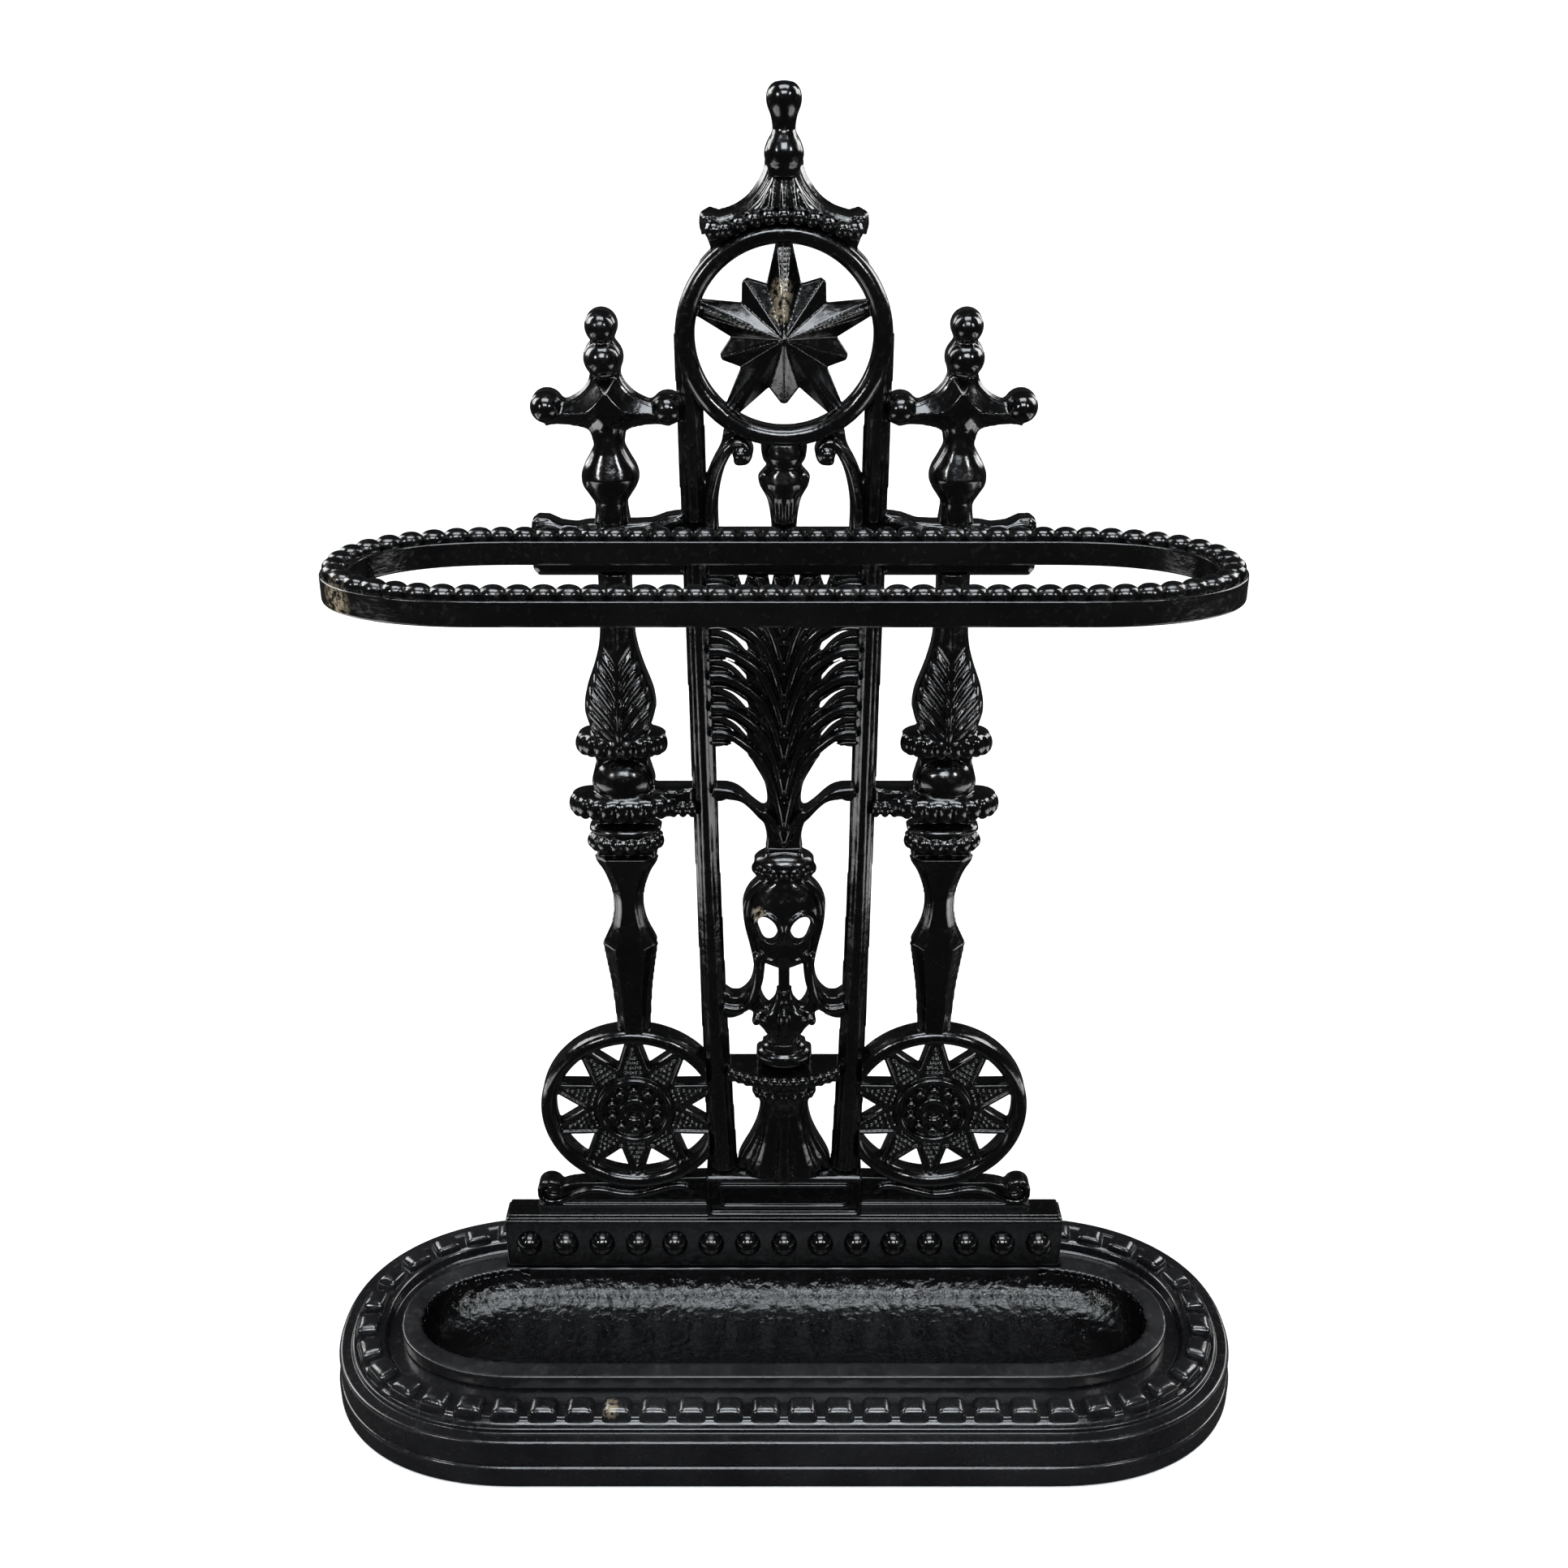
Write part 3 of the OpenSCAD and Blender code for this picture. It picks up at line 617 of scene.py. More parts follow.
def lower_spindles():
    cx = -SPINDLE_X
    foot = WHEEL_Z + WHEEL_R - 1.5
    clay = Clay((cx - 31, 27, foot - 6), (-43, BACK + 1.5, BAR_LOW + 1.5))
    x, y, z = clay.x, clay.y, clay.z
    silhouette = clay.profile([
        (8.3, foot - 8), (8.5, foot), (10.4, 222), (13.8, 247), (13.9, 251), (9.2, 262),
        (7.4, 274), (8.4, 284), (11.8, 294), (16, 302), (15, 312), (15, 340), (16.5, 346),
        (15, 353), (14, 358), (14.5, 374), (17.3, 383), (18.2, 388), (17, 397), (12.2, 411),
        (9.2, 424), (8.3, 440), (8.4, BAR_LOW + 4)])
    edge = clay.outline(cx, silhouette)
    clay.add(clay.plate(edge))
    # Faceted foot and neck
    drop = np.interp(z, [206, 248.5, 253.5, 262, 296, 303], [3.2, 5.6, 5.4, 2.6, 3.0, 5.0])
    clay.add(np.where(z < 304, clay.relief(edge, drop, 1.6, 0.85, 0.5), 50), 0.4)
    # Smooth dome between the collars
    clay.ball((cx, PLATE + 3, 347), (15.6, 12.4, 13.5), 1.0)
    # Vase with leaf strokes that sweep up from its middle rib
    leaf = clay.profile([
        (12, 366), (13.6, 374), (16.6, 382), (17.3, 388), (16.1, 396), (11.4, 410),
        (8.2, 424), (7.2, 440), (7.2, BAR_LOW + 4)])
    leaf_depth = np.interp(z, [366, 380, 392, 420, 457], [7, 11, 11, 6.5, 5])
    side = np.abs(x - cx)
    vase = clay.turned(cx, leaf, leaf_depth)
    sweep = z - 5.2 * np.sqrt(side + 0.4) - 0.25 * side
    wave = np.abs(np.sin(math.pi * sweep / 9.2)) - 0.4
    spread = np.clip((z - 373) / 5, 0, 1) * np.clip((424 - z) / 12, 0, 1)
    rib = np.exp(-(side / 1.0) ** 2) * np.clip((446 - z) / 20, 0, 1)
    within = np.clip((np.maximum(leaf, 1) - side) / 2.0, 0, 1)
    front = np.clip((PLATE + 1 - y) / 2, 0, 1)
    relief = 2.1 * wave * spread * within * np.clip(side / 1.5 - 0.4, 0, 1)
    clay.add(vase - front * (relief + 1.1 * rib), 0.9)
    # Three scalloped collars and the bar that ties the middle one to the rail
    collar(clay, cx, 319.6, 19.6, 11.5, 6.0)
    collar(clay, cx, 313.4, 20.0, 11.5, 8.0, 8, (3.6, 3.6, 4.6), 0.15)
    collar(clay, cx, 337.0, 28.4, 15.5, 8.5, 11, (3.9, 3.9, 6.0), 0.35)
    collar(clay, cx, 371.5, 23.4, 12.5, 8.5, 10, (3.4, 3.4, 5.4), 0.4)
    collar(clay, cx, 365.0, 20.5, 9.5, 8.0, blend=2.5)
    bar = np.maximum(np.abs(z - 335.5) - 8.2, np.maximum(cx + 15 - x, x + 46.5))
    clay.add(clay.slab(bar, PLATE - 1.5, 5), 1.5)
    for i in range(4):
        clay.ball((-62.5 + 4.9 * i, PLATE - 1.4, 331.8), (2.7, 3.0, 4.4), 0.6)
    clay.ball((cx + 25, PLATE, 341.5), (6, 4.5, 2.6), 1.5)
    clay.flat_back()
    clay.keep(x + rail_outer(z) - 0.9)
    clay.clear_round(-WHEEL_X, WHEEL_Z, WHEEL_R - 1.2)
    both_sides(clay, "spindle_lower")


def upper_spindles():
    cx = -SPINDLE_X
    clay = Clay((cx - 38, 33, 482), (-47, BACK + 1.5, 587))
    x, y, z = clay.x, clay.y, clay.z
    body = clay.outline(cx, clay.profile([
        (9, 478), (8.6, 485), (7.8, 493), (10.2, 497.4), (13.1, 502), (13.8, 506.5), (12.7, 511),
        (9.9, 516), (7.5, 521), (6.8, 526), (6.8, 532)]))
    under = [(-6.6, 524), (-9, 529), (-16, 531), (-24, 531.8), (-29, 531)]
    over = [(-30, 541), (-22, 541.6), (-14, 545), (-9, 549.6), (-6.2, 555)]
    arms = polygon(x - cx, z, both_halves(np.vstack([spline(under, 4), spline(over, 4)])))
    arms = np.minimum(arms, np.maximum(np.abs(x - cx) - 6.2, np.abs(z - 540) - 15))
    balls = np.minimum(circle(x, z, cx - 28.6, 539.4, 8), circle(x, z, cx + 28.6, 538.4, 8))
    finial = np.minimum(circle(x, z, cx - 1, 561.8, 9.4), circle(x, z, cx - 1.4, 576.6, 7.7))
    neck = np.maximum(np.abs(x - cx + 1) - 5.0, np.abs(z - 568) - 8)
    edge = smooth_min(smooth_min(body, arms, 3.5), balls, 2.5)
    edge = smooth_min(smooth_min(edge, finial, 3.0), neck, 2.5)
    clay.add(clay.plate(edge))
    # Vase, half round
    vase = clay.profile([
        (7.4, 482), (6.8, 492), (9.4, 497.4), (12.3, 502), (13.0, 506.4), (11.9, 511),
        (9.0, 516), (6.6, 521), (5.8, 526), (5.8, 532)])
    depth = np.interp(z, [482, 494, 506, 518, 526], [5, 5.5, 10.5, 6.5, 5])
    clay.add(clay.turned(cx, vase, depth), 1.0)
    # Roof-like arms: the front rises to a ridge along each arm
    flank = (arms + 1.7 + 0.95 * (PLATE - y)) / 1.38
    clay.add(np.maximum(smooth_max(flank, PLATE - 7 - y, 0.5), y - PLATE - 3), 0.7)
    clay.ball((cx - 28.6, PLATE, 539.2), (7.0, 7.4, 7.0), 0.8)
    clay.ball((cx + 28.6, PLATE, 538.2), (6.8, 6.8, 6.8), 0.8)
    clay.ball((cx - 1, PLATE, 561.4), (8.4, 8.4, 8.2), 0.6)
    clay.ball((cx - 1.2, PLATE, 575.9), (6.8, 7.2, 7.2), 1.4)
    clay.flat_back()
    clay.keep(x + rail_outer(z) - 0.9)
    clay.keep(483 - z)
    both_sides(clay, "spindle_upper")


# ---------- Panel: frame ----------

def ring_room(clay):
    """Distance to the slot in front of the plate that the ring and its beads pass through."""
    above = clay.z - RING_TOP - 5.6
    return np.maximum(np.maximum(RING_LOW - clay.z, above), clay.y - PLATE - 0.05)


def rails():
    clay = Clay((-52.5, 36, PANEL_FOOT - 4), (-26, BACK + 1.5, MEDAL_Z + 2), COARSE)
    outer = rail_outer(clay.z)
    inner = rail_inner(clay.z)
    edge = np.abs(clay.x + (outer + inner) / 2) - (outer - inner) / 2
    clay.add(clay.plate(edge))
    clay.add(clay.relief(edge, 2.6, 1.5, 1.0, 0.6), 0.5)
    clay.add(clay.relief(edge, 3.5, 3.4, 1.2, 1.4), 0.5)
    clay.flat_back()
    clay.clear_round(0, MEDAL_Z, MEDAL_R - 1.5)
    clay.keep(PANEL_FOOT - 1.5 - clay.z)
    clay.keep(-ring_room(clay), 0.5)
    both_sides(clay, "frame_rail")


def medallion():
    clay = Clay((-MEDAL_R - 2, 33, MEDAL_Z - MEDAL_R - 2),
                (MEDAL_R + 2, BACK + 1.5, MEDAL_Z + MEDAL_R + 2))
    x, y, z = clay.x, clay.y, clay.z - MEDAL_Z
    r = np.hypot(x, z)
    inner = 41.6
    rim = np.abs(r - (MEDAL_R + inner) / 2) - (MEDAL_R - inner) / 2
    clay.add(clay.plate(rim, 1.6, PLATE + 0.6))
    clay.add(np.hypot(r - 45.9, (y - PLATE - 0.4) * 0.95) - 4.6, 1.0)
    # Five long points and five short ones, faceted from a central apex
    corners = []
    for i in range(5):
        for radius, angle in ((inner + 2.4, 94.2), (inner + 2.4, 85.8), (24.6, 71), (31.0, 56.6),
                              (31.0, 51.4), (24.6, 37)):
            corners.append(polar(radius, angle - 72 * i))
    gauge = outline_gauge(x, z, corners)
    star = polygon(x, z, corners)
    apex = 12.5
    folds = (PLATE + 3.4 - apex * np.clip(1 - gauge, 0, 1) - y) / 1.12
    clay.add(smooth_max(smooth_max(star, folds, 0.35), y - BACK + 1.5, 0.8), 0.9)
    for i in range(10):
        reach = inner + 1 if i % 2 == 0 else 30.6
        away, share = nearest_on(x, z, [(0, 0), polar(reach, 90 - 36 * i)])
        ridge = PLATE + 3.0 - apex * (1 - share) * reach / (reach + 1.5)
        clay.add(np.hypot(away, y - ridge) - 0.62, 0.3)
    clay.add(np.hypot(r - 49.6, y - PLATE - 0.9) - 1.0, 0.3)
    clay.flat_back()
    cast(clay, "medallion")


def roof():
    clay = Clay((-39, 32, 603), (39, BACK + 1.5, 648))
    x, y, z = clay.x, clay.y, clay.z
    side = [(6.8, 648), (7.0, 644.5), (9.6, 638.5), (15.2, 631.5), (22, 627), (29.5, 624.6)]
    corner = [(33.6, 625.8), (36.4, 624.2), (36.8, 620.8), (35.4, 615.5), (33, 609), (30, 604)]
    edge = polygon(x, z, both_halves(np.vstack([spline(side, 5), corner])))
    clay.add(clay.plate(edge, 1.4))
    # Fluted slopes, which fan out from the finial's foot
    fan = np.arctan2(x, 668 - z) * 180 / math.pi
    spread = np.clip((645 - z) / 20, 0, 1)
    flute = 0.85 * np.cos(2 * math.pi * fan / 7.4) * spread
    slope_front = np.interp(z, [622, 628, 634, 644, 648], [39.6, 40.0, 41.0, 42.8, 43])
    slope = smooth_max(edge + 2.6 + 0.5 * (PLATE - y), slope_front - flute - y, 0.8)
    clay.add(np.maximum(slope, np.maximum(y - BACK, 628 - 0.009 * x * x - z)), 0.8)
    # Bead row under the eave, with a larger ball in each corner
    for i in range(9):
        bx = -26 + 52 * i / 8
        clay.ball((bx, PLATE - 4.0, 625.0 - 0.0085 * bx * bx), (3.5, 5.2, 3.7), 0.2)
    for s in (-1, 1):
        clay.ball((31.6 * s, PLATE - 2.2, 618.6), (4.2, 5.2, 4.4), 0.5)
        clay.ball((34.4 * s, PLATE, 623.6), (2.4, 4, 2.2), 1.5)
    arc = np.hypot(x, z - MEDAL_Z)
    band = np.maximum(np.abs(arc - 48.6) - 2.4, 592 - z)
    clay.add(smooth_max(smooth_max(band, PLATE + 0.2 - y, 1), y - BACK, 0.6), 1)
    clay.flat_back()
    clay.clear_round(0, MEDAL_Z, MEDAL_R - 1.2)
    cast(clay, "pagoda_roof")


def finial():
    clay = Clay((-11, 33, 641), (11, BACK + 1.5, 682.5), 0.5)
    width = clay.profile([
        (7.4, 638), (7.2, 644), (8.4, 647.6), (8.9, 651.4), (7.7, 655.6), (5.7, 659.2), (5.2, 661.6),
        (5.9, 666), (7.5, 670.4), (7.9, 673.6), (7.3, 676.6), (5.4, 679.1), (2.6, 680.3), (0.2, 680.5)])
    around = np.hypot(clay.x, clay.y - 45) - width
    clay.add(np.where(width > 0, around / np.sqrt(1 + clay.lean(width) ** 2), 50))
    clay.keep(clay.z - 680.5)
    cast(clay, "top_finial")


def crossbar():
    clay = Clay((-126, 38, BAR_LOW - 2), (126, BACK + 1.5, 490), COARSE)
    x, y, z = clay.x, clay.y, clay.z
    side = np.abs(x)
    wing = [(36, BAR_TOP), (46, 489), (52, 488.4), (57, 487.6), (64, 485), (72, 484.5),
            (95, 484.2), (101, 483), (108, 483.8), (114, 486.6), (119.5, 487), (122.6, 484.6),
            (123.2, 480), (121, 477.5), (121, 470), (123.2, 466), (123.4, BAR_LOW + 3.5),
            (120.5, BAR_LOW), (36, BAR_LOW)]
    outer = rail_outer(z)
    sides = np.maximum(polygon(side, z, wing), outer - 1 - side)
    between = np.maximum(side - rail_inner(z) - 1, np.maximum(BAR_LOW - z, z - BAR_TOP))
    edge = np.minimum(sides, between)
    clay.add(clay.plate(edge, 1.4))
    # Raised lip that follows the wings' top edge
    path = spline([(52, 484.5), (60, 482.6), (68, 480.4), (98, 478.6), (106, 480), (113, 482.6),
                   (119, 482.4)], 4)
    away, _ = nearest_on(side, z, path)
    lip = np.hypot(away, y - PLATE - 0.4) - 1.9
    clay.add(np.maximum(lip, outer - side), 0.8)
    panel = smooth_max(np.maximum(sides + 2.2, z - 478.6), PLATE - 1.4 - y, 1)
    clay.add(np.maximum(panel, y - PLATE - 2), 0.6)
    clay.flat_back()
    for bolt_x in (-65, 65):
        clay.clear_round(bolt_x, (RING_LOW + RING_TOP) / 2, 2.5)
    cast(clay, "crossbar")


def c_scrolls():
    clay = Clay((-41.5, 35, BAR_TOP - 1), (-13, BACK + 1.5, 536))
    x, y, z = clay.x, clay.y, clay.z
    path = spline([(-36.2, BAR_TOP - 4), (-36, 492), (-34.2, 503), (-31.2, 512), (-26.6, 519.6),
                   (-21.5, 522.6), (-17.4, 519.2), (-18.4, 515.0), (-21.6, 514.4)], 6)
    away, share = nearest_on(x, z, path)
    edge = away - np.interp(share, [0, 0.5, 0.8, 1], [4.6, 3.7, 3.0, 2.6])
    prop = polygon(x, z, [(-31, 514), (-24.5, 521), (-22, 530), (-29, 528)])
    edge = smooth_min(edge, prop, 2.0)
    rail = rail_inner(z) + x
    edge = np.maximum(smooth_min(edge, rail, 2.0), -rail - 1.2)
    clay.add(clay.plate(edge, 1.2, PLATE + 0.4))
    tube = np.sqrt(np.maximum(away - 0.2, 0) ** 2 * 1.3 + (y - PLATE + 0.2) ** 2) - 2.6
    clay.add(np.maximum(tube, y - PLATE - 3), 0.8)
    clay.ball((-20.6, PLATE - 0.2, 517.4), (3.9, 4.6, 3.9), 0.7)
    clay.flat_back()
    clay.clear_round(0, MEDAL_Z, MEDAL_R - 1.2)
    clay.keep(BAR_TOP - 1 - z)
    both_sides(clay, "c_scroll")


def baluster():
    clay = Clay((-15, 32, BAR_TOP - 1), (15, BACK + 1.5, 524))
    z = clay.z
    edge = clay.outline(0, clay.profile([
        (6.0, BAR_TOP - 4), (6.6, 484), (7.4, 490), (8.8, 496), (12, 502), (12.4, 506),
        (8.6, 511), (10.6, 515), (11.2, 519.5), (11, 526)]))
    clay.add(clay.plate(edge, 1.2))
    width = clay.profile([
        (4.4, BAR_TOP - 4), (5, 486), (6.2, 495), (8.4, 499.5), (10.4, 504), (9.8, 508),
        (6.8, 511), (8.6, 514), (9.2, 518), (8.2, 522), (8.2, 526)])
    depth = np.interp(z, [480, 497, 504, 511, 516, 522], [5.5, 7, 9, 7, 8.5, 7])
    turn = np.arctan2(clay.x, 46 - clay.y)
    flute = 0.45 * np.cos(turn * 9) * np.clip((498 - z) / 4, 0, 1)
    clay.add(clay.turned(0, width, depth) - flute, 0.7)
    bead_arc(clay, 0, 503.2, 9.6, 8.4, 9, (2.0, 2.0, 3.3))
    bead_arc(clay, 0, 515.2, 7.8, 7.6, 8, (1.8, 1.8, 3.0))
    clay.flat_back()
    clay.keep(BAR_TOP - 1 - z)
    clay.clear_round(0, MEDAL_Z, MEDAL_R - 1.2)
    clay.keep(-ring_room(clay), 0.5)
    cast(clay, "baluster")


# ---------- Panel: between the rails ----------

def palm():
    """The leaf between the rails: gaps cut from a plate, then a ribbed frond beside each."""
    pitch = 15.6
    top = BAR_LOW + 4
    clay = Clay((-40, 35, 305), (40, BACK + 1.5, BAR_LOW + 2))
    y, z = clay.y, clay.z
    side = np.abs(clay.x)
    leaf_low = spline([(10, 306), (9.4, 313), (11, 322), (15.6, 329.6), (21.5, 335.4),
                       (27.5, 337), (31.4, 335), (36, 334.4), (42, 334.4)], 4)
    edge = polygon(side, z, np.vstack([(-6, 306), leaf_low, (42, top), (-6, top)]))
    first_gap = spline([(44, 343.8), (34, 343.8), (28, 343.2), (22.8, 340.6), (15.8, 334),
                        (10.8, 330.6), (9.0, 334), (10.6, 346), (15.8, 358.6), (22.2, 366),
                        (27.4, 368.4), (31.2, 366), (35.4, 365.4), (44, 365.4)], 4)
    edge = smooth_max(edge, -polygon(side, z, first_gap), 1.0)
    slim = spline([(44, 379.6), (33, 379.4), (27.5, 377.4), (23, 373.6), (18.6, 368.6),
                   (19.2, 374.6), (24, 380.2), (30, 382.8), (34, 381.4), (44, 381.4)], 4)
    for i in range(5):
        edge = smooth_max(edge, -polygon(side, z, slim + [0, i * pitch + 0.2]), 0.8)
    for left, right in ((24.5, 16.4), (8.8, 4.2)):
        notch = polygon(side, z, [(left, top), (right, top), ((left + right) / 2, 449)])
        edge = smooth_max(edge, -notch, 0.6)
    edge = np.maximum(edge, side - rail_inner(z) - 1.0)
    clay.add(clay.plate(edge, 1.0, PLATE + 1))
    # Each frond: a main rib and finer ones beside it
    feet = [311, 320, 339] + [358.8 + 17 * i for i in range(6)]
    rises = [31, 54, 49, 46] + [43] * 5
    for i, (foot, rise) in enumerate(zip(feet, rises)):
        knee = 0.72 if i else 0.66
        rib = spline([(0.6, foot), (5.5, foot + rise * 0.42), (12, foot + rise * knee),
                      (21, foot + rise * 0.9), (30, foot + rise), (38.5, foot + rise)], 5)
        away, share = nearest_on(side, z, rib)
        thick = np.interp(share, [0, 0.15, 0.5, 1], [0.9, 1.7, 2.3, 2.2])
        centre = PLATE - np.interp(share, [0, 0.4, 1], [1.8, 1.6, 0.4])
        clay.add(np.hypot(away, y - centre) - thick, 1.0)
        if i == 0:
            clay.strand(rib[2:] + [1.6, -3.4], side, PLATE + 0.2, 1.3, 0.5)
        else:
            clay.strand(rib[3:] - [0, 5.6], side, PLATE + 0.2, 1.25, 0.9)
            clay.strand(rib[2:-8] + [-1.2, 4.6], side, PLATE + 0.2, 1.1, 0.9)
    clay.keep(smooth_max(edge - 0.4, y - BACK, 0.6), 0.5)
    clay.keep(z - BAR_LOW - 1)
    cast(clay, "palm")


def urn():
    clay = Clay((-38, 32, 186), (38, BACK + 1.5, 309))
    x, y, z = clay.x, clay.y, clay.z
    side = np.abs(x)
    outline = spline([
        (9.2, 309), (9.4, 292), (13, 289.4), (19, 283), (22.4, 274), (21.8, 262), (19.2, 250),
        (17.3, 240), (16.8, 233), (18.6, 224), (23.6, 218), (28.6, 217.4), (33, 220.2),
        (40, 220.6)], 4)
    lower = spline([(40, 203.2), (34.5, 203.2), (28.5, 202.9), (22.5, 205.4), (19.8, 208),
                    (16.2, 205.4), (14.8, 200), (10.8, 197.8), (8.2, 192), (8.0, 185)], 4)
    edge = polygon(side, z, np.vstack([(-6, 309), outline, lower, (-6, 185)]))
    eye = polygon(side, z, spline([(14.4, 266.4), (12.8, 271), (8.8, 271.8), (4.6, 268), (3.4, 261),
                                   (6.0, 255.4), (10.8, 256.2), (14.4, 266.4)], 5)[:-1])
    slot = polygon(side, z, spline([(3.0, 238.4), (9.5, 238.4), (10.8, 228), (12.6, 218),
                                    (9.6, 210.6), (5.6, 209.8), (3.2, 216), (3.0, 238.4)], 5)[:-1])
    edge = smooth_max(edge, -eye, 0.8)
    edge = smooth_max(edge, -slot, 0.8)
    inside = side - rail_inner(z) - 1
    edge = np.maximum(edge, inside)
    clay.add(clay.plate(edge, 1.2))
    # Bulging body with a rim round each eye
    bowl = clay.profile([(3, 236), (13.5, 241), (16.2, 250), (18.6, 262), (19.3, 273), (16.6, 281.5),
                         (11.6, 287), (7.6, 290), (6.6, 296)])
    depth = np.interp(z, [236, 246, 262, 275, 290], [4, 7, 9.5, 10.5, 5])
    bulge = clay.turned(0, np.maximum(bowl, 0.4), depth)
    clay.add(np.where((z > 237) & (z < 295), smooth_max(bulge, -(eye - 0.9), 1.0), 50), 1.0)
    dome_x, dome_y, dome_z = 19.5, 12, 18
    clay.ball((0, PLATE + 1, 268), (dome_x, dome_y, dome_z), 1.0)
    dome = 1 - (x / dome_x) ** 2 - ((z - 268) / dome_z) ** 2
    lip_y = PLATE + 1 - dome_y * np.sqrt(np.maximum(dome, 0.05))
    clay.add(np.hypot(eye - 1.5, y - lip_y) - 1.5, 0.6)
    # Legs that sweep out to the rails
    leg = [(14.4, 243), (14.0, 233), (15.6, 222), (19.6, 213), (25.6, 209.6), (37, 211.4)]
    clay.strand(spline(leg, 5), side, PLATE - 0.6, 2.4, 1.0)
    stem = np.maximum(side - 2.8, np.maximum(z - 240, 207 - z))
    clay.add(smooth_max(stem, PLATE - 3 - y, 1.0), 1.0)
    # Crescents under the eyes and foliage round the foot
    for s in (-1, 1):
        arc = spline([(2.2 * s, 246.4), (5 * s, 243.4), (9 * s, 243.4), (12 * s, 246.8)], 5)
        clay.strand(arc, x, PLATE - 4.6, 1.4, 0.5)
    foot = clay.profile([(6.8, 182), (7.4, 189), (9.4, 194), (13.4, 199), (16.4, 203.6), (15.4, 207.6),
                         (9.6, 211), (5, 216), (3.4, 222)])
    turn = np.arctan2(x, np.maximum(PLATE + 1 - y, 0.01))
    lobes = 1.9 * (np.abs(np.cos(turn * 3.5)) - 0.5) * np.clip((z - 191) / 6, 0, 1)
    depth = np.interp(z, [188, 200, 206, 216], [6.5, 8.5, 8.5, 4.5])
    clay.add(clay.turned(0, foot, depth) - lobes, 1.0)
    clay.ball((0, PLATE - 7.0, 205), (2.7, 2.6, 6.5), 0.7)
    for s in (-1, 1):
        clay.ball((15.4 * s, PLATE - 1, 203), (2.4, 2.6, 3.2), 0.9)
    collar(clay, 0, 299.6, 17.0, 10.5, 12.5, 9, (2.6, 2.6, 3.6))
    # Open back behind the eyes, as thin castings have
    pocket = (np.sqrt((x / 16.5) ** 2 + ((z - 263) / 19) ** 2) - 1) * 16.5
    pocket_front = np.interp(z, [244, 262, 280], [46, 42.5, 44])
    clay.keep(-smooth_max(pocket, pocket_front - y, 1.5), 1.0)
    clay.keep(-smooth_max(eye, PLATE - 12 - y, 0.1), 0.6)
    clay.keep(np.maximum(y - BACK, inside), 0.4)
    cast(clay, "urn")


def dish():
    clay = Clay((-34, 25, 159), (34, BACK + 1.5, 190))
    x, y, z = clay.x, clay.y, clay.z
    inside = np.abs(x) - rail_inner(z) - 1
    # Plan of the shelf: a shallow arc between the rails
    arc_y = 77.5
    arc = np.hypot(x, y - arc_y) - 47.5
    lobes = 0.7 * np.abs(np.sin(np.arctan2(x, arc_y - y) * 26))
    top = 174 - 0.132 * (BACK - y)
    shelf = smooth_max(arc + 0.7 - lobes, np.maximum(z - top, 164.5 - z), 2.2)
    under = smooth_max(arc + 6, np.maximum(z - 166, 161 - z), 2.0)
    clay.add(smooth_min(shelf, under, 2.0))
    back = np.maximum(inside, np.maximum(z - 170.5, 161 - z))
    clay.add(clay.slab(back, PLATE, 1.2), 1.5)
    clay.keep(inside)
    for i in range(13):
        turn = math.radians(-38 + 76 * i / 12)
        spot = (47.4 * math.sin(turn), arc_y - 47.4 * math.cos(turn), 169.6)
        clay.ball(spot, (3.1, 3.2, 4.2), 0.3)
    # Torus and neck that the urn stands on
    ring = half_round(x, y, 15.6, 11.5, PLATE + 2)
    clay.add(smooth_max(np.maximum(ring, y - BACK), np.abs(z - 179.6) - 5, 6), 1.2)
    clay.add(smooth_max(np.maximum(ring + 2.6, y - BACK), np.abs(z - 184.4) - 2.4, 2.5), 0.6)
    neck = half_round(x, y, 9, 8, PLATE + 2)
    clay.add(np.maximum(np.maximum(neck, y - BACK), np.maximum(176 - z, z - 189)), 2.0)
    clay.flat_back()
    clay.keep(inside)
    cast(clay, "dish")


def pedestal():
    clay = Clay((-31, 27, PANEL_FOOT - 3), (31, BACK + 1.5, 166))
    x, y, z = clay.x, clay.y, clay.z
    edge = clay.outline(0, clay.profile([
        (27.5, 98), (26.4, 107), (23.6, 114), (19, 123), (15.6, 132), (13.8, 142), (14.6, 149),
        (17, 154), (17, 161), (16, 168)]))
    edge = np.maximum(edge, np.abs(x) - rail_inner(z) - 1)
    clay.add(clay.plate(edge))
    width = clay.profile([
        (22.6, 98), (22.2, 108), (19.4, 114), (15.8, 123), (13.2, 132), (12, 142), (12.4, 149),
        (14.6, 154), (14.8, 160), (14, 168)])
    depth = np.interp(z, [103, 112, 124, 142, 150, 160], [13, 11.5, 9.4, 8, 8.5, 10])
    turn = np.arctan2(x, np.maximum(PLATE + 1 - y, 0.01))
    swell = np.clip((147 - z) / 14, 0, 1) * np.interp(z, [103, 108, 124, 140], [0.7, 1, 0.8, 0.5])
    lobes = 3.2 * (np.abs(np.cos(turn * 3.5)) - 0.55) * swell
    clay.add(clay.turned(0, width, depth) - lobes * np.clip((PLATE - y) / 2, 0, 1), 0.8)
    collar(clay, 0, 156.0, 17.8, 12, 8.5, 11, (2.3, 2.3, 3.8), 0.1, 1.0)
    clay.flat_back()
    clay.keep(PANEL_FOOT - 1 - z)
    cast(clay, "pedestal")


# ---------- Panel: foot ----------

